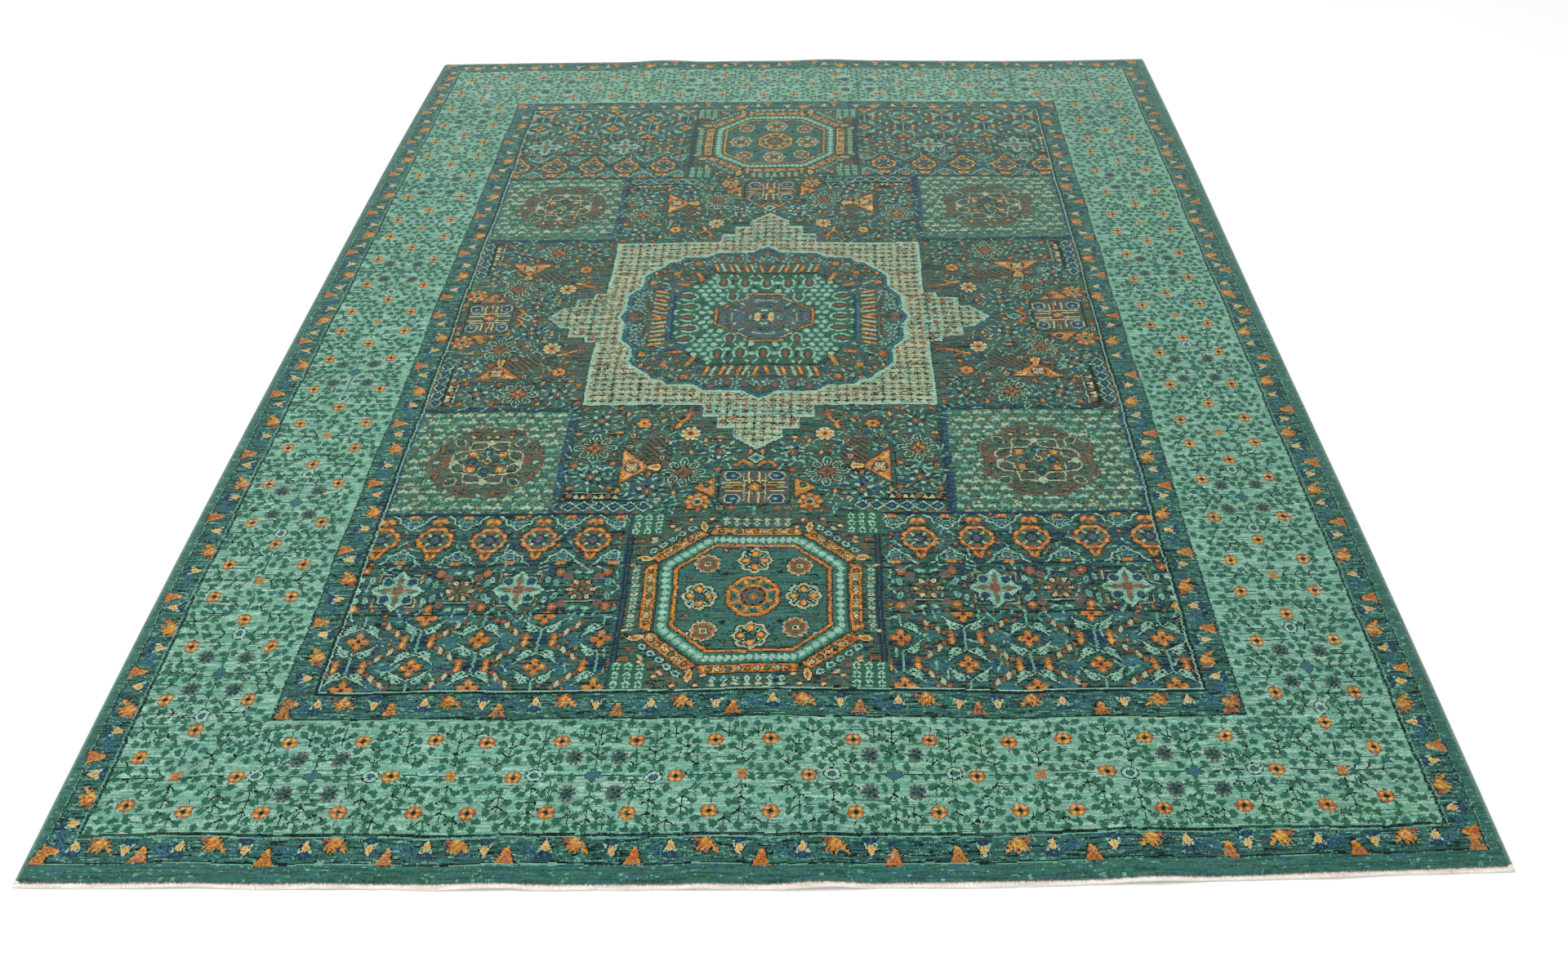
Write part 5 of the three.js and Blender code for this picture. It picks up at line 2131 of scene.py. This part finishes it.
def binding_material():
    """Wound wool: grey jade, set paler than its wool partly as a painted highlight of the fuzz along the
    cord, a little shinier than the pile, with fine fibres along each turn.
    """
    material, tree, shader = new_material("wound_wool_binding", 0.9, 0.1, 1.0)
    place = node(tree, "UVMap", {"uv_map": "Millimetres"})
    lots = shades(tree, place, (60, 140, 1), 0.75, 1.25, 2.0)
    turns = shades(tree, place, (30, 2.6, 1), 0.8, 1.2, 2.0)
    # Painted highlight, in part: the grey jade is paler than the wound wool, for the pale fuzz that catches
    # light along the cord.
    dyed = node(tree, "HueSaturation", Value=node(tree, "Math", "MULTIPLY", lots, turns),
                Color=linear("#5d8577"))
    tree.links.new(dyed.outputs["Color"], shader.inputs["Base Color"])
    bump = node(tree, "Bump", Strength=0.5, Distance=0.0006, Height=streak(tree, place, (6, 0.5, 1), 2.0))
    tree.links.new(bump.outputs["Normal"], shader.inputs["Normal"])
    return material


def piece_of(name, flat_places, faces, material, millimetres):
    """A laid piece from points and faces of any size, with a flat coordinate for each point."""
    mesh = bpy.data.meshes.new(name)
    points = [tuple(p) for p in lay(flat_places)]
    mesh.from_pydata(points, [], [tuple(int(v) for v in face) for face in faces])
    piece = new_piece(name, mesh, material)
    corner_points = np.zeros(len(mesh.loops), dtype=np.int32)
    mesh.loops.foreach_get("vertex_index", corner_points)
    write_uv(mesh, "Millimetres", millimetres[corner_points])
    return piece


def binding(side, material):
    """The wound cord of one side: rings of points, wide on each turn and narrow between turns."""
    length, middle = 2 * BODY_HALF_LENGTH, side * (HALF_WIDTH - BINDING / 2)
    rings = int(length / WRAP) * 2 + 1
    along_cord = np.linspace(-length / 2, length / 2, rings)
    around = np.arange(BINDING_SIDES) / BINDING_SIDES * 2 * pi
    swell = np.where(np.arange(rings) % 2 == 0, VALLEY, 1.0)
    swell = swell * (1 + np.random.default_rng(11 + side).normal(0, 0.015, rings))
    radius = BINDING / 2 * swell[:, None]
    x = middle + radius * np.cos(around)[None, :]
    slant = TURN_SLANT * np.sin(around)[None, :]
    y = np.clip(along_cord[:, None] + slant, -length / 2, length / 2)
    z = BINDING / 2 + radius * np.sin(around)[None, :]
    ends = [[middle, s * length / 2, BINDING / 2] for s in (-1, 1)]
    points = np.concatenate([np.stack([x, y, z], -1).reshape(-1, 3), ends])
    j, i = np.mgrid[0:rings - 1, 0:BINDING_SIDES] * np.array([BINDING_SIDES, 1])[:, None, None]
    beside = (i + 1) % BINDING_SIDES
    quads = np.stack([j + i, j + BINDING_SIDES + i, j + BINDING_SIDES + beside, j + beside], -1)
    k = np.arange(BINDING_SIDES)
    beside, last_ring = (k + 1) % BINDING_SIDES, (rings - 1) * BINDING_SIDES
    near_end, far_end = rings * BINDING_SIDES, rings * BINDING_SIDES + 1
    near = np.stack([k, beside, 0 * k + near_end], -1)
    far = np.stack([last_ring + beside, last_ring + k, 0 * k + far_end], -1)
    faces = [*quads.reshape(-1, 4), *near, *far]
    turn = np.concatenate([np.tile(around / (2 * pi) * pi * BINDING, rings), [0, 0]])
    run = np.concatenate([np.repeat(along_cord, BINDING_SIDES), [-length / 2, length / 2]])
    name = "binding_left" if side < 0 else "binding_right"
    piece = piece_of(name, points, faces, material, np.stack([turn, run], -1))
    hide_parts("side_" + name)
    return piece


wound_wool = binding_material()
for side in (-1, 1):
    cord = binding(side, wound_wool)
    print(cord.name, len(cord.data.polygons), "faces")


# %% [markdown]
# ## The flat-woven ends
# At each end a narrow band of plain cotton weave, without knots, keeps the pile from unravelling.
# It is turned under and oversewn, so it reads as a pale, slightly fuzzy roll.

# %% End webs
WEB_STEPS = 600
WEB_PROFILE = np.array([  # out from the pile, and up, round the folded web
    (0.0, 0.4), (0.0, 3.6), (1.6, 4.4), (5.0, 4.3), (9.0, 4.4), (11.6, 3.9),
    (12.8, 2.6), (12.8, 1.2), (11.8, 0.2), (8.0, 0.0), (3.0, 0.0),
])
PAINTED_SHADE_FROM = HALF_LENGTH - 1.9  # beyond this a painted brown shade is mixed in, meant for the shade under the fold's outer edge


def web_material():
    """Undyed cotton: pale and quite matt, with slanting stitches, and a painted brown shade meant for the
    fold's outer edge.
    """
    material, tree, shader = new_material("undyed_cotton_web", 0.95, 0.2, 0.1)
    place = node(tree, "UVMap", {"uv_map": "Millimetres"})
    warm = shades(tree, place, (60, 8, 1), 0.0, 1.0)
    colour = node(tree, "Mix", {"data_type": "RGBA"}, Factor=warm, A=linear("#d6cbbb"), B=linear("#f6f1e8"))
    slanting = node(tree, "Mapping", Vector=place, Rotation=(0, 0, radians(28)))
    stitches = shades(tree, slanting, (1.7, 16, 1), 0.80, 1.10, 1.0)
    threads = shades(tree, place, (2.4, 1.4, 1), 0.88, 1.08)
    spun = node(tree, "HueSaturation", Value=node(tree, "Math", "MULTIPLY", stitches, threads), Color=colour)
    # Painted shade: the cotton is mixed with brown beyond the distance set above, measured on the
    # Millimetres map's second coordinate, meant for the shade under the fold.
    from_middle = node(tree, "Math", "ABSOLUTE", node(tree, "SeparateXYZ", None, place).outputs["Y"])
    beyond = node(tree, "Math", "SUBTRACT", from_middle, PAINTED_SHADE_FROM)
    patchy = shades(tree, place, (70, 40, 1), 0.0, 0.75, 1.0)
    painted_shade = node(tree, "Math", "MULTIPLY", node(tree, "Math", "MAXIMUM", beyond, 0.0), patchy)
    shaded_cotton = node(tree, "Mix", {"data_type": "RGBA"}, Factor=painted_shade, A=spun, B=linear("#9a8370"))
    tree.links.new(shaded_cotton.outputs["Result"], shader.inputs["Base Color"])
    bump = node(tree, "Bump", Strength=0.8, Distance=0.001, Height=streak(tree, place, (1.6, 1.6, 1)))
    tree.links.new(bump.outputs["Normal"], shader.inputs["Normal"])
    return material


def web(end, material):
    """The folded web of one end: one profile, swept over the width with a wavering hem."""
    x = np.linspace(-HALF_WIDTH, HALF_WIDTH, WEB_STEPS + 1)
    shake, step = np.random.default_rng(21 + end), np.arange(WEB_STEPS + 1)
    waver = np.interp(step, step[::6], shake.normal(0, 0.28, WEB_STEPS // 6 + 1))
    slow = np.interp(step, step[::24], shake.normal(-0.8, 0.9, WEB_STEPS // 24 + 1))
    out, up = WEB_PROFILE.T[:, None, :]
    out = out + (waver + slow)[:, None] * (out > 8)
    y = end * (HALF_LENGTH - WEB + np.minimum(out, WEB))
    z = up * (1 + 0.05 * np.sin(x / 3.1))[:, None]
    points = np.stack([np.broadcast_to(x[:, None], y.shape), y, z], -1).reshape(-1, 3)
    n = len(WEB_PROFILE)
    j, i = np.mgrid[0:WEB_STEPS, 0:n]
    j, beside = j * n, (i + 1) % n
    quads = np.stack([j + i, j + beside, j + n + beside, j + n + i], -1).reshape(-1, 4)
    faces = [*quads, np.arange(n)[::-1], WEB_STEPS * n + np.arange(n)]
    if end > 0:
        faces = [face[::-1] for face in faces]
    name = "web_near" if end < 0 else "web_far"
    girth = np.concatenate([[0], np.cumsum(np.hypot(*np.diff(WEB_PROFILE, axis=0).T))])
    millimetres = np.stack([np.repeat(x, n), np.tile(girth, WEB_STEPS + 1)], -1)
    piece = piece_of(name, points, faces, material, millimetres)
    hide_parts("end_" + name)
    return piece


cotton = web_material()
for end in (-1, 1):
    band = web(end, cotton)
    print(band.name, len(band.data.polygons), "faces")


# %% [markdown]
# ## Floor, light and camera
# The rug lies on a plain floor in even studio light, almost without shadow. The camera stands at
# the near end, a little right of the middle, at the height of a standing person's eyes.

# %% Floor
FLOOR_HALF = 30  # metres
UNDER_RUG = 0.0006  # the floor lies this much lower, so that it doesn't meet the rug's underside


def floor():
    """A plain, almost white floor that mirrors nothing."""
    material, _, shader = new_material("plain_floor", 0.9, 0.0)
    shader.inputs["Base Color"].default_value = (0.97, 0.97, 0.97, 1)
    mesh = bpy.data.meshes.new("floor")
    corners = [(a * FLOOR_HALF, b * FLOOR_HALF, 0) for a, b in ((-1, -1), (1, -1), (1, 1), (-1, 1))]
    mesh.from_pydata(corners, [], [(0, 1, 2, 3)])
    mesh.materials.append(material)
    plane = bpy.data.objects.new("floor", mesh)
    plane.location.z = -UNDER_RUG
    bpy.context.scene.collection.objects.link(plane)


floor()
print("floor laid")


# %% Light
def soft_light(name, place, aim, size, power):
    """A round soft lamp that looks at a place."""
    light = bpy.data.lights.new(name, "AREA")
    light.shape = "DISK"
    light.size = size
    light.energy = power
    lamp = bpy.data.objects.new(name, light)
    bpy.context.scene.collection.objects.link(lamp)
    lamp.location = place
    direction = Vector(aim) - Vector(place)
    lamp.rotation_euler = direction.to_track_quat("-Z", "Y").to_euler()


world = bpy.data.worlds.new("studio")
bpy.context.scene.world = world
world.use_nodes = True
backdrop = world.node_tree.nodes["Background"]
backdrop.inputs["Color"].default_value = (1, 1, 1, 1)
backdrop.inputs["Strength"].default_value = 0.85
soft_light("overhead", (-1.5, -1.0, 4.5), (0, 0, 0), 4.0, 130)
bpy.context.scene.view_settings.view_transform = "Standard"
bpy.context.scene.view_settings.look = "None"
print("lit by an even backdrop and one soft lamp")


# %% Camera
FOCAL_PIXELS, FRAME_WIDTH = 1535.7, 1920
ASIDE = 64.2  # how far the photo's optical axis lies from its middle, in the same pixels
camera = bpy.data.cameras.new("camera")
camera.sensor_width = 36
camera.lens = 36 * FOCAL_PIXELS / FRAME_WIDTH
camera.shift_x = -ASIDE / FRAME_WIDTH
camera.clip_end = 100
eye = bpy.data.objects.new("camera", camera)
bpy.context.scene.collection.objects.link(eye)
eye.location = (0.1114 - MIDDLE_X / 1000, -2.6687 - MIDDLE_Y / 1000, 1.8412)
eye.rotation_euler = [radians(a) for a in (47.964, 0.231, -0.587)]
bpy.context.scene.camera = eye
print("camera", [round(v, 3) for v in eye.location])
